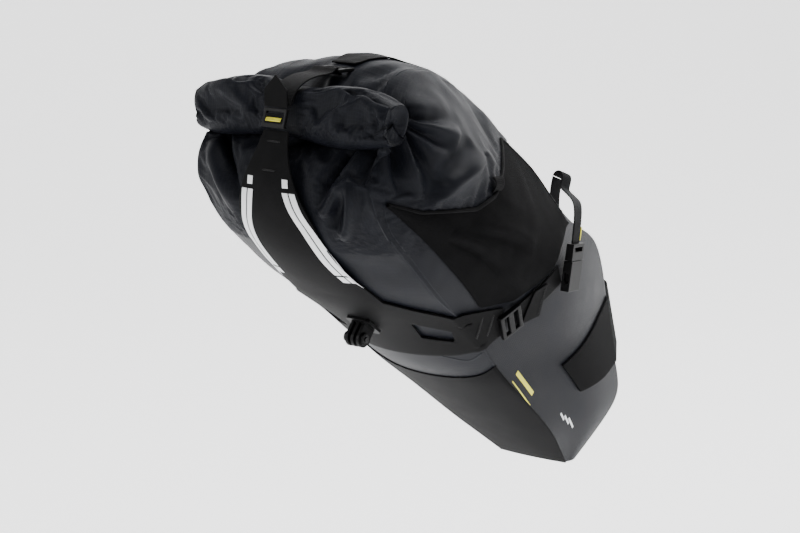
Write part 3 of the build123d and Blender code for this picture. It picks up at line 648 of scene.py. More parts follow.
def make_materials():
    """Every material, by a short name."""
    return {
        "shell": woven("shell_ripstop", (0.0042, 0.0047, 0.0068), (0.0078, 0.0086, 0.0120), 0.55, 0.07,
                       (0.40, 0.52), grid=2.6, Specular_IOR_Level=0.07),
        "tape": coated("seam_tape", (0.0066, 0.0074, 0.010), (0.011, 0.0122, 0.0165), 2600, 0.05,
                       (0.38, 0.48), Specular_IOR_Level=0.08),
        "coating": coated("underside_coating", (0.0022, 0.0022, 0.0024), (0.0040, 0.0040, 0.0044), 1800, 0.09,
                          (0.55, 0.68), Specular_IOR_Level=0.03),
        "harness": coated("harness_coating", (0.0036, 0.0036, 0.0038), (0.0062, 0.0062, 0.0065), 2400, 0.10,
                          (0.55, 0.68), Specular_IOR_Level=0.035),
        "stretch": woven("stretch_weave", (0.0030, 0.0030, 0.0032), (0.0056, 0.0056, 0.0060), 0.9, 0.16,
                         (0.7, 0.85), Sheen_Weight=0.004, Sheen_Roughness=0.4,
                         Specular_IOR_Level=0.02),
        "webbing": woven("webbing", (0.0035, 0.0035, 0.0038), (0.0085, 0.0085, 0.009), 1.3, 0.3,
                         (0.55, 0.7), Sheen_Weight=0.004, Specular_IOR_Level=0.04),
        "grip": woven("grip_strap", (0.0035, 0.0035, 0.0038), (0.0075, 0.0075, 0.0078), 1.1, 0.22,
                      (0.7, 0.85), Sheen_Weight=0.004, Specular_IOR_Level=0.03),
        "plastic": coated("moulded_acetal", (0.0028, 0.0028, 0.003), (0.0052, 0.0052, 0.0055), 5200, 0.03,
                          (0.36, 0.46), Specular_IOR_Level=0.09),
        "alloy": coated("black_alloy", (0.005, 0.005, 0.0054), (0.010, 0.010, 0.0105), 7000, 0.02,
                        (0.4, 0.52), Metallic=0.3, Specular_IOR_Level=0.12),
        "steel": coated("black_steel", (0.006, 0.006, 0.0063), (0.014, 0.014, 0.0145), 4000, 0.02,
                        (0.3, 0.42), Metallic=0.6),
        "reflective": coated("reflective_print", (0.66, 0.67, 0.68), (0.78, 0.79, 0.8), 5000, 0.03,
                             (0.38, 0.5), Specular_IOR_Level=0.5),
        "yellow": coated("yellow_thread", (0.62, 0.56, 0.02), (0.82, 0.78, 0.05), 3000, 0.05,
                         (0.5, 0.65)),
        "white": coated("white_print", (0.7, 0.71, 0.72), (0.8, 0.81, 0.82), 4000, 0.02,
                        (0.45, 0.55)),
        "thread": coated("black_thread", (0.006, 0.006, 0.0063), (0.014, 0.014, 0.0146), 3000, 0.05,
                         (0.5, 0.65), Specular_IOR_Level=0.2),
        "liner": coated("stiffener_sheet", (0.05, 0.05, 0.055), (0.09, 0.09, 0.095), 900, 0.03,
                        (0.4, 0.5)),
    }


M = make_materials()


# ---- shell ------------------------------------------------------------------------------------
def shell_piece(tail_tree):
    """The bag's shell: one continuous lofted surface with its folds, open at the mouth."""
    grid = shell_grid(0, SHELL_ROWS, (REAR_COLUMNS, SIDE_COLUMNS, FRONT_COLUMNS))
    normals = grid_normals(grid, closed=True)
    left_twins = [(mirrored(route), width, height * 0.85, fade)
                  for route, width, height, fade in SHELL_FOLDS if route[0][1] < -95
                  or route[0][2] > 262]
    push = folded(grid, SHELL_FOLDS + left_twins + LEFT_FOLDS)
    for place, reach, depth in PINCHES:
        for side in (1, -1):
            gap = np.linalg.norm(grid - np.array(place) * (1, side, 1), axis=-1)
            push += depth * np.exp(-(gap / reach) ** 2)
    upper = np.clip((grid[..., 2] - 90) / 90, 0, 1)
    push += upper * fabric_noise(grid, 34, 2.4, 1, (1, 1, 0.6))
    push += upper * fabric_noise(grid, 13, 0.7, 2, (1, 1, 0.5))
    push += fabric_noise(grid, 60, 1.0, 3)
    push *= skin_room(grid)
    grid = grid + normals * push[..., None]
    grid = under_tail(grid, tail_tree)
    return with_ends(grid)


def inside_outline(points, outline):
    """Signed distance in millimetres of points inside an outline; below 0 outside it."""
    flat = points.reshape(-1, 2)
    outline = np.asarray(outline, float)
    gap = np.full(len(flat), 1e9)
    inside = np.zeros(len(flat), bool)
    for start, end in zip(outline, np.roll(outline, -1, axis=0)):
        run = end - start
        share = np.clip((flat - start) @ run / (run @ run), 0, 1)
        gap = np.minimum(gap, np.linalg.norm(flat - start - share[:, None] * run, axis=1))
        crosses = (start[1] > flat[:, 1]) != (end[1] > flat[:, 1])
        with np.errstate(divide="ignore", invalid="ignore"):
            at = start[0] + (flat[:, 1] - start[1]) * run[0] / run[1]
        inside ^= crosses & (flat[:, 0] < at)
    return np.where(inside, gap, -gap).reshape(points.shape[:-1])


def skin_room(grid):
    """1 where the shell's fabric is free to fold, and 0 where another piece holds it flat."""
    side = inside_outline(grid[..., (0, 2)], WING_LOW + WING_HIGH[-2:0:-1])
    on_side = np.abs(grid[..., 1]) > 60
    held = np.where(on_side, np.clip((side + 6) / 10, 0, 1), 0)
    level = np.clip((112 - grid[..., 2]) / 20, 0, 1)
    low = np.where(grid[..., 0] < -230, level, 1.0)
    low = np.maximum(low, np.clip((120 - grid[..., 2]) / 30, 0, 1))
    return (1 - held) * (1 - 0.97 * low)


def under_tail(grid, tail_tree):
    """Press the shell in where the harness tail lies on it."""
    flat = grid.reshape(-1, 3).copy()
    for i, point in enumerate(flat):
        if point[0] < -380 and abs(point[1]) < 62 and 92 < point[2] < 250:
            hit = tail_tree.ray_cast(Vector((-600, point[1], point[2])), Vector((1, 0, 0)))[0]
            if hit is not None:
                flat[i, 0] = max(point[0], hit[0] + 1.0)
    return flat.reshape(grid.shape)


def with_ends(grid):
    """Close the nose and the mouth of the shell with rows that shrink to a slit."""
    nose, mouth = grid[0], grid[-1]
    rows = [grid]
    for end, out, before in ((nose, (0.1, 0, -1), True), (mouth, (0.3, 0, 0.6), False)):
        centre = end.mean(axis=0)
        extra = []
        for share in (0.97, 0.85, 0.6, 0.3, 0.05):
            lift = 1.6 * math.sqrt(1 - share ** 2)
            extra.append(centre + (end - centre) * share + np.array(out) * lift)
        extra = np.array(extra)
        rows = [extra[::-1]] + rows if before else rows + [extra]
    return np.vstack(rows)


# ---- roll -------------------------------------------------------------------------------------
ROLL_FOLDS = [
    ([(-440, 74, 268), (-440, 70, 274), (-436, 66, 280)], 5, -5.0, "both"),
    ([(-440, 46, 268), (-440, 49, 274), (-434, 52, 280)], 5, -4.0, "both"),
    ([(-446, -50, 262), (-444, -56, 270), (-438, -62, 277)], 4, -4.0, "both"),
    ([(-449, -30, 258), (-448, -42, 252), (-446, -60, 262)], 9, 1.6, "both"),
    ([(-440, -84, 276), (-446, -92, 266), (-446, -97, 252)], 4, -2.6, "both"),
    ([(-436, -72, 279), (-444, -80, 270), (-450, -84, 258)], 4, -2.2, "both"),
    ([(-448, 84, 262), (-446, 60, 266), (-446, 30, 266)], 4, -2.4, "both"),
    ([(-446, 92, 244), (-450, 70, 246), (-451, 40, 248)], 8, 1.6, "both"),
]


def roll_piece():
    """The mouth rolled up: a flattened spiral with tucked ends."""
    columns, rows = 116, 132
    places = np.linspace(-1, 1, rows)
    knots = [place for place, _ in ROLL_SHARES]
    shares = natural_spline(knots, [[share] for _, share in ROLL_SHARES], places)[:, 0]
    turn = np.linspace(0, 2 * math.pi, columns, endpoint=False)
    grid = []
    for place, share in zip(places, shares):
        angle = turn + ROLL_EDGE + 0.07 * math.sin(place * 9.0) + 0.04 * math.sin(place * 23.0)
        boxy = (np.abs(np.cos(angle)) ** ROLL_SQUARE
                + np.abs(np.sin(angle)) ** ROLL_SQUARE) ** (-1 / ROLL_SQUARE)
        swell = (ROLL_START + ROLL_GROWTH * turn / (2 * math.pi)) * boxy
        squeeze = 1 - 0.03 * math.cos(place * 14)
        x = ROLL_X - ROLL_DEPTH * share * swell * squeeze * np.cos(angle)
        z = ROLL_Z + ROLL_HEIGHT * share * swell * np.sin(angle)
        z = z + 1.5 * math.sin(place * 5.0) - 3.0 * place ** 4
        grid.append(np.stack([x, np.full(columns, place * ROLL_LENGTH), z], axis=-1))
    grid = np.array(grid)
    tucked = []
    for share in (0.93, 0.8, 0.62, 0.42, 0.22, 0.05):
        dent = 7.0 * (1 - share ** 2)
        ring = []
        for end, sign in ((grid[0], 1), (grid[-1], -1)):
            centre = end.mean(axis=0)
            moved = centre + (end - centre) * share + np.array([0, sign * dent, 0])
            ring.append(moved + np.array([0, 0.9 * sign, 0]) * np.sin(7 * share + 2 * turn)[:, None])
        tucked.append(ring)
    low = np.array([ring[0] for ring in tucked])[::-1]
    high = np.array([ring[1] for ring in tucked])
    grid = np.vstack([low, grid, high])
    normals = -grid_normals(grid, closed=True)
    outward = np.sum(normals * (grid - np.array([ROLL_X, 0, ROLL_Z])) * (1, 0, 1), axis=-1)
    normals = normals * np.sign(outward.mean())
    push = folded(grid, ROLL_FOLDS)
    push += fabric_noise(grid, 24, 1.3, 5, (1, 0.5, 1))
    push += fabric_noise(grid, 9, 0.35, 6, (1, 0.6, 1))
    grid = grid + normals * push[..., None]
    piece = grid_piece("rolled_mouth", grid, M["shell"], closed=True)
    face_outward(piece, Vector((ROLL_X * MM, 0, ROLL_Z * MM)))
    inflated(piece, held_by_strap(piece), *ROLL_CLOTH)
    return piece


def held_by_strap(piece):
    """How firmly each vertex of the roll is held: by the strap in the middle, or from below."""
    points = np.array([vertex.co for vertex in piece.data.vertices]) / MM
    middle = np.clip(1 - (np.abs(points[:, 1]) - 12) / 10, 0, 1)
    below = np.clip((ROLL_Z - 12 - points[:, 2]) / 8, 0, 1)
    return np.maximum(middle, below)


def held_by_harness(piece, tail_tree):
    """How firmly each vertex of the shell is held: by what lies on it, and by the roll."""
    points = np.array([vertex.co for vertex in piece.data.vertices]) / MM
    firm = 1 - skin_room(points[None])[0]
    gaps = np.array([tail_tree.find_nearest(Vector(point))[3] for point in points])
    firm = np.maximum(firm, np.clip((12 - gaps) / 8, 0, 1))
    firm = np.maximum(firm, np.clip((185 - points[:, 2]) / 40, 0, 1))
    mouth = np.clip((16 - np.hypot(points[:, 0] - ROLL_X, points[:, 2] - ROLL_Z) + 12) / 12, 0, 1)
    return np.maximum(firm, mouth)


def inflated(piece, held, pressure, slack, limit, frames):
    """Let a piece settle as slightly loose cloth under pressure, moving no point past the limit."""
    group = piece.vertex_groups.new(name="held")
    for index, weight in enumerate(held):
        group.add([index], float(weight), "REPLACE")
    before = np.array([vertex.co for vertex in piece.data.vertices])
    cloth = piece.modifiers.new("cloth", "CLOTH")
    made = cloth.settings
    made.quality = 6
    made.mass = 0.2
    made.tension_stiffness = made.compression_stiffness = 12
    made.shear_stiffness = 6
    made.bending_stiffness = 0.25
    made.air_damping = 4
    made.use_pressure = True
    made.uniform_pressure_force = pressure
    made.shrink_min = -slack
    made.vertex_group_mass = "held"
    made.effector_weights.gravity = 0
    cloth.collision_settings.use_collision = False
    cloth.point_cache.frame_start, cloth.point_cache.frame_end = 1, frames
    scene = bpy.context.scene
    for number in range(1, frames + 1):
        scene.frame_set(number)
    shape = piece.evaluated_get(bpy.context.evaluated_depsgraph_get()).data
    moved = np.array([vertex.co for vertex in shape.vertices]) - before
    far = np.linalg.norm(moved, axis=1, keepdims=True) / (limit * MM)
    moved = moved / np.maximum(far, 1)
    piece.modifiers.remove(cloth)
    piece.vertex_groups.remove(group)
    scene.frame_set(1)
    piece.data.vertices.foreach_set("co", (before + moved).ravel())
    piece.data.update()


def face_outward(piece, centre):
    """Turn a closed piece's faces so that they look away from a point inside it."""
    mesh = piece.data
    total = sum((Vector(p.center) - centre).dot(p.normal) * p.area for p in mesh.polygons)
    if total < 0:
        mesh.flip_normals()


# ---- harness ----------------------------------------------------------------------------------
def tail_grid(rows, columns, lift):
    """The harness tail up the rear: crowned across, narrowing to the hook."""
    table = np.array(TAIL, float)
    knots = lengths_along(table[:, :2])
    levels = natural_spline(knots, table, np.linspace(0, knots[-1], rows))
    run = np.gradient(levels[:, :2], axis=0)
    run = run / np.linalg.norm(run, axis=1, keepdims=True)
    across = np.linspace(-1, 1, columns)
    grid = []
    for (x, z, half, drop), (run_x, run_z) in zip(levels, run):
        outward = np.array([-run_z, run_x])
        rise = lift - drop * across ** 2
        grid.append(np.stack([x + outward[0] * rise, half * across, z + outward[1] * rise], axis=-1))
    return np.array(grid)


def harness_surface():
    """The harness: a band round the bag and a tail up its rear, as points and faces."""
    half_count, tail_half = 46, 20
    pairs = np.array(BAND_PAIRS, float)
    tail_share = np.linspace(0, TAIL_PAIR, tail_half + 1)
    arm_share = np.linspace(TAIL_PAIR, len(pairs) - 1, half_count - tail_half + 1)[1:]
    at = np.concatenate([tail_share, arm_share])
    knots = np.arange(len(pairs))
    high = natural_spline(knots, pairs[:, 0], at)
    low = natural_spline(knots, pairs[:, 1], at)
    high = np.vstack([mirrored(high[:0:-1]), high])[::-1]
    low = np.vstack([mirrored(low[:0:-1]), low])[::-1]
    band_rows = 36
    band = nearest_on(skin(HARNESS_LIFT), ruled(low, high, band_rows))
    tail_rows = 64
    tail = tail_grid(tail_rows, 2 * tail_half + 1, TAIL_LIFT)
    first = half_count - tail_half
    joined = band[-1, first:first + 2 * tail_half + 1]
    if joined[0, 1] > joined[-1, 1]:
        tail = tail[:, ::-1]
    fade = np.clip(1 - np.arange(tail_rows) / 9, 0, 1) ** 2
    tail = tail + (joined - tail[0])[None] * fade[:, None, None]
    return band, tail, first


def harness_piece(band, tail, first):
    """The harness as one coated sheet with windows, thickened; the tail joins at a column."""
    rows, columns = band.shape[:2]
    points = band.reshape(-1, 3).tolist()
    faces = grid_faces(rows, columns)
    tail_columns = tail.shape[1]
    index = [[(rows - 1) * columns + first + c for c in range(tail_columns)]]
    for row in tail[1:]:
        index.append(list(range(len(points), len(points) + tail_columns)))
        points += row.tolist()
    for r in range(len(index) - 1):
        for c in range(tail_columns - 1):
            faces.append((index[r][c], index[r + 1][c], index[r + 1][c + 1], index[r][c + 1]))
    points = np.array(points)
    faces = np.array(faces)
    faces, points = cut_windows(points, faces)
    centre = points[faces].mean(axis=1)
    normal = np.cross(points[faces[:, 1]] - points[faces[:, 0]], points[faces[:, 3]] - points[faces[:, 0]])
    if np.sum(normal * (centre - MIDDLE)) < 0:
        faces = faces[:, ::-1]
    uv = points[faces][..., (1, 2)]
    piece = new_piece("harness", points, faces, uv.reshape(-1, 2), M["harness"])
    thicken(piece, HARNESS_THICKNESS, 0.4)
    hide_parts("harness_band", "harness_tail")
    return piece


def cut_windows(points, faces):
    """Open a window each side of the band's middle, and draw its edge to the outline."""
    places = points[:, (1, 2)].copy()
    places[:, 0] = np.abs(places[:, 0])
    rear = points[:, 0] < -280
    centres = places[faces].mean(axis=1)
    inside = (inside_outline(centres, WINDOW) > 0) & rear[faces].all(axis=1)
    removed, kept = faces[inside], faces[~inside]
    edge = np.intersect1d(removed.ravel(), kept.ravel())
    outline = straight_chain(np.array(WINDOW + WINDOW[:1], float), 240)
    for i in edge:
        gaps = np.linalg.norm(outline - places[i], axis=1)
        y, z = outline[np.argmin(gaps)]
        side = math.copysign(1, points[i, 1])
        start = Vector((-600, y * side, z))
        points[i] = skin(HARNESS_LIFT).ray_cast(start, Vector((1, 0, 0)))[0]
    return kept, points


def strip_grid(line, half_width, tree, lift, columns=5):
    """A printed strip along a line in y and z on the harness tail."""
    line = smooth_line(line, 60) if len(line) > 2 else straight_chain(line, 6)
    across = np.linspace(-half_width, half_width, columns)
    starts = np.array([[(-600, y + shift, z) for shift in across] for y, z in line])
    found = cast(tree, starts.reshape(-1, 3), (1, 0, 0)).reshape(len(line), columns, 3)
    normals = grid_normals(found)
    normals = normals * np.where(normals[..., :1] > 0, -1, 1)
    return found + normals * lift


def reflective_strips(tree):
    """Two strips and a block each side of the tail, with a short break near their lower end."""
    pieces = []
    upper = [point for point in STRIP_LINE if point[1] > STRIP_BREAK[0]]
    for sign in (-1, 1):
        label = "right" if sign < 0 else "left"
        for number, shift in enumerate((-STRIP_SHIFT, STRIP_SHIFT)):
            for part, places in (("strip", upper + [(38.2, STRIP_BREAK[0])]), ("foot", STRIP_FOOT)):
                line = [(sign * (y + shift), z) for y, z in places]
                grid = strip_grid(line, STRIP_WIDTH / 2, tree, 0.04)
                pieces.append(grid_piece(f"{label}_reflective_{part}_{number + 1}", grid,
                                         M["reflective"]))
        block = [(sign * y, z) for y, z in STRIP_BLOCK]
        grid = strip_grid(block, STRIP_WIDTH / 2, tree, 0.04)
        pieces.append(grid_piece(f"{label}_reflective_block", grid, M["reflective"]))
    for piece in pieces:
        thicken(piece, 0.3, 0.08)
        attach(piece, "tail")
    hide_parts("reflective_strips")


def outer_tree(grid, thickness):
    """The outer surface of a sheet, to cast rays on."""
    normals = grid_normals(grid)
    if np.mean(np.sum(normals * (grid - MIDDLE), axis=-1)) < 0:
        normals = -normals
    moved = grid + normals * thickness
    return BVHTree.FromPolygons(moved.reshape(-1, 3).tolist(), grid_faces(*grid.shape[:2]))


# ---- straps over the top ----------------------------------------------------------------------
def closure_grid(rows, columns):
    """The closure strap's face next to the bag, along the middle, from the ladder lock."""
    table = np.array(CLOSURE, float)
    knots = lengths_along(table[:, :2])
    levels = natural_spline(knots, table, np.linspace(0, knots[-1], rows))
    across = np.linspace(-1, 1, columns)
    return np.array([np.stack([np.full(columns, x), half * across, np.full(columns, z)], axis=-1)
                     for x, z, half in levels])


def anchor_grid(tree, rows=44, columns=26):
    """The band sewn to the top of the bag, from the ladder lock forwards, hugging the shell."""
    grid = []
    for share in np.linspace(0, 1, rows):
        x = ANCHOR_REACH[0] + (ANCHOR_REACH[1] - ANCHOR_REACH[0]) * share
        half = ANCHOR_HALF[0] + (ANCHOR_HALF[1] - ANCHOR_HALF[0]) * share ** 1.4
        starts = [(x, y, 400.0) for y in np.linspace(-half, half, columns)]
        row = cast(tree, starts, (0, 0, -1))
        row[:, 2] += 0.5
        near = np.clip(1 - share / 0.16, 0, 1)
        near = near * near * (3 - 2 * near)
        row[:, 2] = row[:, 2] * (1 - near) + near * max(row[:, 2].max(), 289.0)
        grid.append(row)
    return np.array(grid)


def hook_tack_middle():
    """The middle of the bar tack below the hook's slot."""
    low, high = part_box("closure_bar_tack")
    return np.array((low + high) / 2) / MM


def top_pieces(tree):
    """The closure strap with its anchor sheet, and its end turned at the hook."""
    strap = grid_piece("closure_webbing", closure_grid(70, 14), M["webbing"])
    thicken(strap, WEBBING_THICKNESS * 0.9, 0.4)
    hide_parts("closure_strap")
    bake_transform(strap)
    band = grid_piece("top_anchor_sheet", anchor_grid(tree), M["harness"])
    thicken(band, 1.4, 0.4)
    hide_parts("top_anchor")
    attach(band, "bag")
    out, down = np.array(HOOK_OUT), np.array(HOOK_DOWN)
    middle = hook_tack_middle() - out * 0.25
    corners = [[middle + down * share + np.array([0, side, 0]) for side in np.linspace(-10.2, 10.2, 12)]
               for share in np.linspace(-5.0, 3.4, 9)]
    turned = grid_piece("closure_webbing_end", np.array(corners), M["webbing"])
    thicken(turned, 0.7, 0.2, inward=True)
    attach(turned, "closure")


# ---- wings and underside ----------------------------------------------------------------------
def wing_pieces():
    """The stretch wings on the sides, with their bound edges."""
    columns, rows = 120, 64
    low = straight_chain(WING_LOW, columns)
    high = straight_chain(WING_HIGH, columns)
    places = ruled(low, high, rows)
    grid = on_right_side(places, WING_LIFT)
    normals = grid_normals(grid)
    if np.mean(normals[..., 1]) > 0:
        normals = -normals
    edge = np.minimum(np.arange(rows), np.arange(rows)[::-1]) / 5.0
    calm = np.clip(edge, 0, 1)[:, None] * np.ones((1, columns))
    push = folded(grid, WING_FOLDS) * calm
    push += np.maximum(fabric_noise(grid, 26, 1.2, 8), -0.1) * calm
    puff = 2.6 * np.sin(np.pi * np.linspace(0, 1, rows))[:, None] * np.ones((1, columns))
    push = np.maximum(push + puff, 0.0)
    grid = grid + normals * push[..., None]
    for label, twin in (("right", grid), ("left", mirrored(grid))):
        wing = grid_piece(f"{label}_stretch_wing", twin, M["stretch"])
        thicken(wing, WING_THICKNESS, 0.3)
        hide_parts(f"{label}_wing")
        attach(wing, "bag")
    bound_edge(grid)
    pull_loops()


def bound_edge(wing):
    """The narrow binding sewn over the wings' upper edge."""
    line = wing[-1]
    inner = wing[-4]
    lean = line - inner
    lean = lean / np.maximum(np.linalg.norm(lean, axis=1, keepdims=True), 0.01)
    grid = np.stack([line - lean * 2.6 + (0, -1.3, 0), line - lean * 1.2 + (0, -1.6, 0),
                     line + (0, -1.2, 0), line + lean * 0.6], axis=0)
    both_sides("wing_binding", grid, "webbing", 0.5, "bag", None, 0.15)


def pull_loops():
    """A small folded loop at the corner of each wing."""
    x, z = np.mean(WING_TAB, axis=0)
    base = on_right_side([(x, z)], 1.4)[0]
    profile = [(0, 0), (1.6, -2.0), (3.4, -6.0), (2.4, -10.5), (0.9, -12.0)]
    grid = np.array([[base + np.array([side, -out, rise]) for side in np.linspace(-6, 6, 8)]
                     for out, rise in smooth_line(np.array(profile, float) * (1, -1) - (0, 6), 24)])
    both_sides("wing_loop", grid, "webbing", 1.0, "bag", "wing_tab", 0.25)


def underside_piece():
    """The abrasion patch on the lower rear, from the nose up to a shallow arch."""
    grid = shell_grid(0.3, 200, (60, 40, 30))[:, :61]
    keep_rows = [row for row in grid if row[30, 2] < 9]
    last = len(keep_rows)
    top = np.array(PATCH_TOP, float)
    high = np.vstack([top[::-1], mirrored(top[1:])])
    top_line = nearest_on(skin(0.3), smooth_line(high, 61))
    grid = np.array(keep_rows)
    fade = np.linspace(0, 1, last)[:, None, None] ** 4
    grid = nearest_on(skin(0.3), grid * (1 - fade) + top_line[None] * fade)
    piece = grid_piece("underside_coating", grid, M["coating"])
    thicken(piece, 1.0, 0.3)
    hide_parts("underside_patch")
    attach(piece, "bag")


# ---- side straps, rail straps and seatpost strap ------------------------------------------------
def both_sides(name, grid, material, thickness, body, node, edge=0.3):
    """A sheet on the right and its twin on the left; node and body get right_ or left_ before them."""
    for label, twin in (("right", grid), ("left", mirrored(grid))):
        piece = grid_piece(f"{label}_{name}", twin, M[material])
        thicken(piece, thickness, edge)
        if node:
            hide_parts(f"{label}_{node}")
        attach(piece, body if body == "bag" else f"{label}_{body}")


def side_webbing():
    """The webbing on each side, from the ladder lock to the buckle, and its folded tab."""
    start, end = np.array(WEBBING_START, float), np.array(WEBBING_END, float)
    run = (end - start) / np.linalg.norm(end - start)
    across = np.array([-run[1], run[0]]) * WEBBING_WIDTH / 2
    low = straight_chain([start - across, end - across], 44)
    high = straight_chain([start + across, end + across], 44)
    grid = on_right_side(ruled(low, high, 20), HARNESS_LIFT)
    both_sides("webbing_strip", grid, "harness", WEBBING_THICKNESS, "bag", "side_webbing")
    low = straight_chain([LOCK_TAB[0], LOCK_TAB[3]], 16)
    high = straight_chain([LOCK_TAB[1], LOCK_TAB[2]], 16)
    grid = on_right_side(ruled(low, high, 24), TAB_LIFT)
    both_sides("folded_tab", grid, "harness", 1.6, "bag", "lock_tab")
    tree = outer_tree(grid, 1.6)
    stitched = []
    for inset in (0.82, 0.91):
        line = grid[2:-2, int(inset * 15)]
        found = cast(tree, line + np.array([0, -60.0, 0]), (0, 1, 0))
        stitched += stitches_along(found, np.tile((0.1, -1.0, -0.1), (len(found), 1)), 2.6)
    twin_threads("tab_stitches", stitched, 0.32, "thread", "bag")


def twin_threads(name, runs, radius, material, body):
    """The same threads on the right and on the left."""
    thread_mesh(f"right_{name}", runs, radius, M[material], body)
    flip = np.array([1.0, -1.0, 1.0])
    left = [(start * flip, end * flip, normal * flip) for start, end, normal in runs]
    thread_mesh(f"left_{name}", left, radius, M[material], body)


def buckle_frame():
    """The right buckle's middle and its three directions: along, across and out of the side."""
    point, out, along, across = frame_on(skin(0), (SOCKET_PLACE[0], -300, SOCKET_PLACE[1]),
                                         (0, 1, 0), (0.1, 0, 1.0))
    return point + out * SOCKET_LIFT, along, across, out


def ribbon_grid(centres, widths, half_width, rows, columns=8):
    """Flat webbing that follows a line, with its width direction at each point."""
    line = smooth_line(np.hstack([centres, widths]), rows)
    directions = line[:, 3:] / np.linalg.norm(line[:, 3:], axis=1, keepdims=True)
    across = np.linspace(-half_width, half_width, columns)[None, :, None]
    return line[:, None, :3] + directions[:, None, :] * across


def rail_straps():
    """Webbing from each buckle up over the saddle rail, and down to the bag behind it."""
    centre, along, across, out = buckle_frame()
    slope = math.radians(RAIL_SLOPE)
    rail = np.array([math.cos(slope), 0, -math.sin(slope)])
    up = np.array([math.sin(slope), 0, math.cos(slope)])
    side = np.array([0.0, 1.0, 0.0])
    origin = np.array(RAIL_POINT)
    radius = RAIL_RADIUS + WEBBING_THICKNESS / 2
    route = [centre + along * 24 - out * 0.8, centre + along * 34 - out * 0.8]
    top = origin - side * radius
    route += [top + np.array([-9.0, -6.5, -10.0]), top + np.array([-3.0, -1.2, -4.0]) - up * 4]
    widths = [across, across, -rail, -rail]
    for turn in (180, 135, 90, 45, 0):
        angle = math.radians(turn)
        route.append(origin + side * radius * math.cos(angle) + up * radius * math.sin(angle))
        widths.append(-rail)
    sign = 1 if np.dot(across, -rail) > 0 else -1
    widths = [widths[0] * sign, widths[1] * sign] + widths[2:]
    grid = ribbon_grid(np.array(route), np.array(widths), RAIL_WEBBING / 2, 90)
    both_sides("rail_webbing", grid, "webbing", WEBBING_THICKNESS, "plug", "rail_strap")
    start = origin + side * radius - up * 0.5
    foot = start + np.array([-4.0, 2.0, 0.0])
    hit = skin(0).ray_cast(Vector((foot[0], foot[1], 400)), Vector((0, 0, -1)))[0]
    route = [start, (start + foot) / 2 + (0, 0.6, (hit[2] - start[2]) / 2),
             np.array(hit) + (0, 0, 0.8), np.array(hit) + (-14, 3.0, 12.5)]
    grid = ribbon_grid(np.array(route), np.array([-rail] * 4), RAIL_WEBBING / 2, 40)
    both_sides("rail_webbing_end", grid, "webbing", 1.2, "bag", "rail_anchor")


def post_point(along, forward, side):
    """A point given along the seatpost, forward of its axis and to the left of it."""
    lean = math.radians(POST_LEAN)
    return np.array([-math.sin(lean) * along + math.cos(lean) * forward, side,
                     math.cos(lean) * along + math.sin(lean) * forward])


def post_strap_grid(radius_at, last_angle):
    """The right half of the seatpost strap: its patch on the side, its free run and its flap."""
    rows = 26
    low = straight_chain(POST_LOW, 46)
    high = straight_chain(POST_HIGH, 46)
    patch = on_right_side(ruled(low, high, rows), WING_LIFT)
    levels = np.linspace(STRAP_LOW, STRAP_HIGH, rows)
    angles = np.radians(np.linspace(POST_MEET, last_angle, 34))
    rest = []
    for row, level in zip(patch, levels):
        first = post_point(level, *(radius_at(angles[0]) * np.array([math.cos(angles[0]),
                                                                     math.sin(angles[0])])))
        seam = row[-1]
        free = [seam + (first - seam) * share for share in np.linspace(0, 1, 12)[1:-1]]
        wrapped = [post_point(level, radius_at(angle) * math.cos(angle),
                              radius_at(angle) * math.sin(angle)) for angle in angles]
        rest.append(free + wrapped)
    return np.concatenate([patch, np.array(rest)], axis=1)


def over_radius(angle):
    """The right flap's inner radius: on the post first, then over the left flap."""
    rise = np.clip((math.degrees(angle) + 12) / 18, 0, 1)
    return POST_RADIUS + 0.1 + 2.5 * rise * rise * (3 - 2 * rise)


def seatpost_strap():
    """Both halves of the hook-and-loop strap, each one sheet from its patch on the side round the seatpost.
    """
    grids = {"right": post_strap_grid(over_radius, FLAP_LAP),
             "left": mirrored(post_strap_grid(lambda angle: POST_RADIUS + 0.1, -3.0))}
    for label, grid in grids.items():
        piece = grid_piece(f"{label}_seatpost_strap", grid, M["grip"])
        thicken(piece, STRAP_THICKNESS * 0.9, 0.4)
        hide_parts(f"{label}_post_arm", f"{label}_post_flap")
        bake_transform(piece)


# ---- hardware ----------------------------------------------------------------------------------
# Each: CAD node, bevel, material, slot and body; the twins get right_ or left_ before node and body.
TWIN_HARDWARE = [
    ("ladder_lock", 0.8, "plastic", "acetal", "lock"),
    ("buckle_socket", 1.3, "plastic", "acetal", "bag"),
    ("buckle_plug", 0.8, "plastic", "acetal", "plug"),
    ("rail_tag", 0.35, "yellow", "yellow_thread", "plug"),
]
HARDWARE = [
    ("accessory_mount", 0.5, "plastic", "acetal", "bag"),
    ("mount_bolt", 0.35, "steel", "black_steel", "bolt"),
    ("mount_nut", 0.25, "steel", "black_steel", "bag"),
    ("top_ladder_lock", 0.7, "plastic", "acetal", "top_lock"),
    ("closure_hook", 0.6, "alloy", "black_alloy", "closure"),
    ("pull_tab", 0.35, "harness", "harness_coating", "pull_tab"),
]


def hardware():
    """Moulded and metal pieces, with their edges rounded, and the hidden stiffeners' material."""
    for node, bevel, material, slot, body in TWIN_HARDWARE:
        for label in ("right", "left"):
            place = body if body == "bag" else f"{label}_{body}"
            softened(f"{label}_{node}", bevel, M[material], place)
    for node, bevel, material, slot, body in HARDWARE:
        softened(node, bevel, M[material], body)
    for node in ("nose_stiffener", "roll_stiffener"):
        for filled in NODES[node].material_slots:
            filled.link = "OBJECT"
            filled.material = M["liner"]


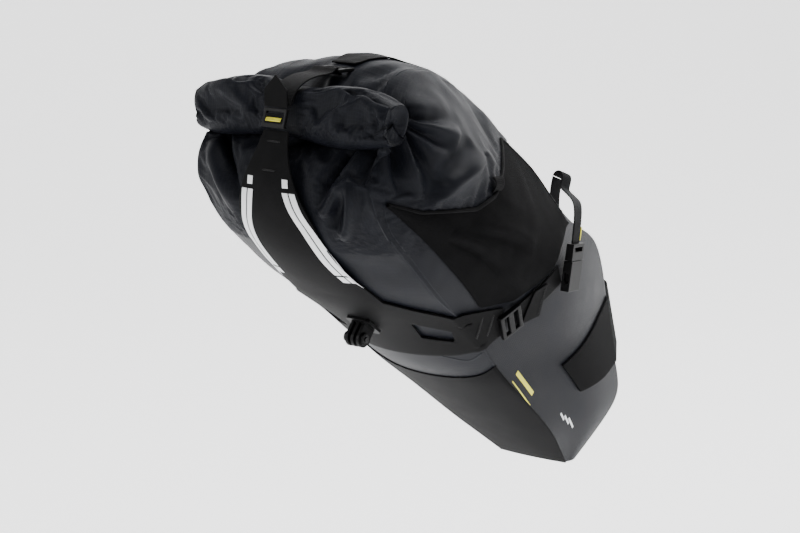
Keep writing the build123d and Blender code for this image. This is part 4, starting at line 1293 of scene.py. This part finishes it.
# ---- seams, stitches and marks -----------------------------------------------------------------
def tape(name, tree, line, half_width, material="tape", thickness=0.22):
    """A narrow welded tape that follows the finished shell."""
    line = nearest_on(tree, line)
    run = np.gradient(line, axis=0)
    normals = np.array([tree.find_nearest(Vector(point))[1] for point in line])
    across = np.cross(normals, run)
    across = across / np.linalg.norm(across, axis=1, keepdims=True)
    shares = np.linspace(-half_width, half_width, 5)
    grid = nearest_on(tree, line[:, None] + across[:, None] * shares[None, :, None])
    piece = grid_piece(name, grid, M[material])
    thicken(piece, thickness, 0.06)
    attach(piece, "bag")


def seam_tapes(tree):
    """The welded seams: between rear and sides, between top and sides, and under the harness."""
    table = np.array(STATIONS, float)
    rear = np.stack([table[:, 0], -table[:, 4], table[:, 1]], axis=-1)
    inner = on_right_side(SEAM_TAPE, 0)
    lower = np.array(LOWER_SEAM, float)
    for label, side in (("right", 1), ("left", -1)):
        flip = np.array([1, side, 1])
        tape(f"{label}_rear_seam", tree, smooth_line(rear[1:13], 150) * flip, 0.7)
        tape(f"{label}_tape_edge", tree, smooth_line(inner, 110) * flip, 0.45)
        tape(f"{label}_top_seam", tree, smooth_line(TOP_SEAM, 80) * flip, 0.6)
    whole = np.vstack([lower[::-1], mirrored(lower[1:])])
    tape("lower_seam", tree, smooth_line(whole, 120), 0.8)


def stitches():
    """Bar tacks on the harness band, on the tail and below the closure hook."""
    runs = []
    for x in TACK_X:
        point, out, along, across = frame_on(skin(HARNESS_LIFT + HARNESS_THICKNESS),
                                             (x, -300, 65), (0, 1, 0), (0.1, 0, 1))
        runs += bar_tack(point + out * 0.1, along, across, out, 19, 3.0, 13)
    twin_threads("band_tacks", runs, 0.34, "thread", "bag")
    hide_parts("band_tacks")
    daisy = []
    for z in TACK_Z:
        point, out, along, across = frame_on(tail_outer, (-600, -1.0, z), (1, 0, 0), (0, 1, 0))
        daisy += bar_tack(point + out * 0.1, along, across, out, 13, 1.6, 10)
    thread_mesh("tail_tacks", daisy, 0.3, M["thread"], "tail")
    out, down = np.array(HOOK_OUT), np.array(HOOK_DOWN)
    tack = bar_tack(hook_tack_middle() + out * 0.1, np.array([0, 1.0, 0]), down, out, 15.5, 3.4, 13)
    piece = thread_mesh("hook_tack", tack, 0.42, M["yellow"], "closure")
    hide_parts("closure_bar_tack")


def printed_marks(tree):
    """Plain printed bars low on the right side: two yellow and three white."""
    for number, (start, end, half) in enumerate(PRINTED_BARS):
        line = on_right_side(straight_chain([start, end], 24), 0)
        kind = "yellow" if number < YELLOW_BARS else "white"
        tape(f"printed_bar_{number + 1}", tree, line, half, kind, thickness=0.05)


def floor_and_lights():
    """A pale floor that curves up into a backdrop, and soft studio lights."""
    profile = [(-4.0, FLOOR_LEVEL), (PAPER_BEND, FLOOR_LEVEL)]
    for step in range(1, 13):
        turn = math.pi / 2 * step / 12
        profile.append((PAPER_BEND + PAPER_RADIUS * math.sin(turn),
                        FLOOR_LEVEL + PAPER_RADIUS * (1 - math.cos(turn))))
    profile.append((PAPER_BEND + PAPER_RADIUS, PAPER_HEIGHT))
    heading = Vector((0.767, 0.642, 0))
    side = Vector((-0.642, 0.767, 0))
    points, faces = [], []
    for along, level in profile:
        for across in (-PAPER_HALF, PAPER_HALF):
            points.append(tuple(heading * along + side * across + Vector((0, 0, level))))
    for i in range(len(profile) - 1):
        faces.append((2 * i, 2 * i + 2, 2 * i + 3, 2 * i + 1))
    mesh = bpy.data.meshes.new("backdrop")
    mesh.from_pydata(points, [], faces)
    paper = Graph("studio_paper", (0.86, 0.86, 0.87), 0.9, Emission_Color=(1, 1, 1, 1),
                  Emission_Strength=1.5)
    mesh.materials.append(paper.material)
    mesh.polygons.foreach_set("use_smooth", [True] * len(mesh.polygons))
    backdrop = bpy.data.objects.new("backdrop", mesh)
    bpy.context.scene.collection.objects.link(backdrop)
    world = bpy.data.worlds.new("studio")
    world.use_nodes = True
    world.node_tree.nodes["Background"].inputs[0].default_value = (1, 1, 1, 1)
    world.node_tree.nodes["Background"].inputs[1].default_value = 0.12
    bpy.context.scene.world = world
    target = Vector(LIGHT_TARGET)
    for name, place, size, power in LIGHTS:
        data = bpy.data.lights.new(name, "AREA")
        data.shape = "RECTANGLE"
        data.size, data.size_y = size
        data.energy = power
        light = bpy.data.objects.new(name, data)
        light.location = place
        light.rotation_euler = (target - Vector(place)).to_track_quat("-Z", "Y").to_euler()
        bpy.context.scene.collection.objects.link(light)


def camera():
    """The camera behind and to the right of the bag."""
    data = bpy.data.cameras.new("camera")
    data.lens = CAMERA_LENS
    data.sensor_width = 36
    data.clip_start, data.clip_end = 0.05, 50
    eye = bpy.data.objects.new("camera", data)
    eye.location = CAMERA_PLACE
    eye.rotation_euler = Vector(CAMERA_HEADING).to_track_quat("-Z", "Y").to_euler()
    bpy.context.scene.collection.objects.link(eye)
    bpy.context.scene.camera = eye


def piece_tree(piece):
    """The surface of a piece, in millimetres, to cast rays on."""
    vertices = [vertex.co / MM for vertex in piece.data.vertices]
    return BVHTree.FromPolygons(vertices, [tuple(p.vertices) for p in piece.data.polygons])


# ---- putting it together ----------------------------------------------------------------------
camera()
floor_and_lights()
harness_band, harness_tail, tail_column = harness_surface()
tail_outer = outer_tree(harness_tail, HARNESS_THICKNESS)
tail_inner = outer_tree(harness_tail, 0.0)
shell = grid_piece("bag_shell", shell_piece(tail_inner), M["shell"], closed=True)
face_outward(shell, Vector(MIDDLE * MM))
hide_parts("rear_panel", "front_panel", "right_side_panel", "left_side_panel", "nose_fold")
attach(shell, "bag")
inflated(shell, held_by_harness(shell, tail_inner), *SHELL_CLOTH)
roll = roll_piece()
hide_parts("roll_closure")
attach(roll, "bag")
harness = harness_piece(harness_band, harness_tail, tail_column)
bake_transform(harness)
reflective_strips(tail_outer)
shell_tree = piece_tree(shell)
wing_pieces()
underside_piece()
top_pieces(shell_tree)
side_webbing()
rail_straps()
seatpost_strap()
hardware()
seam_tapes(shell_tree)
stitches()
printed_marks(shell_tree)
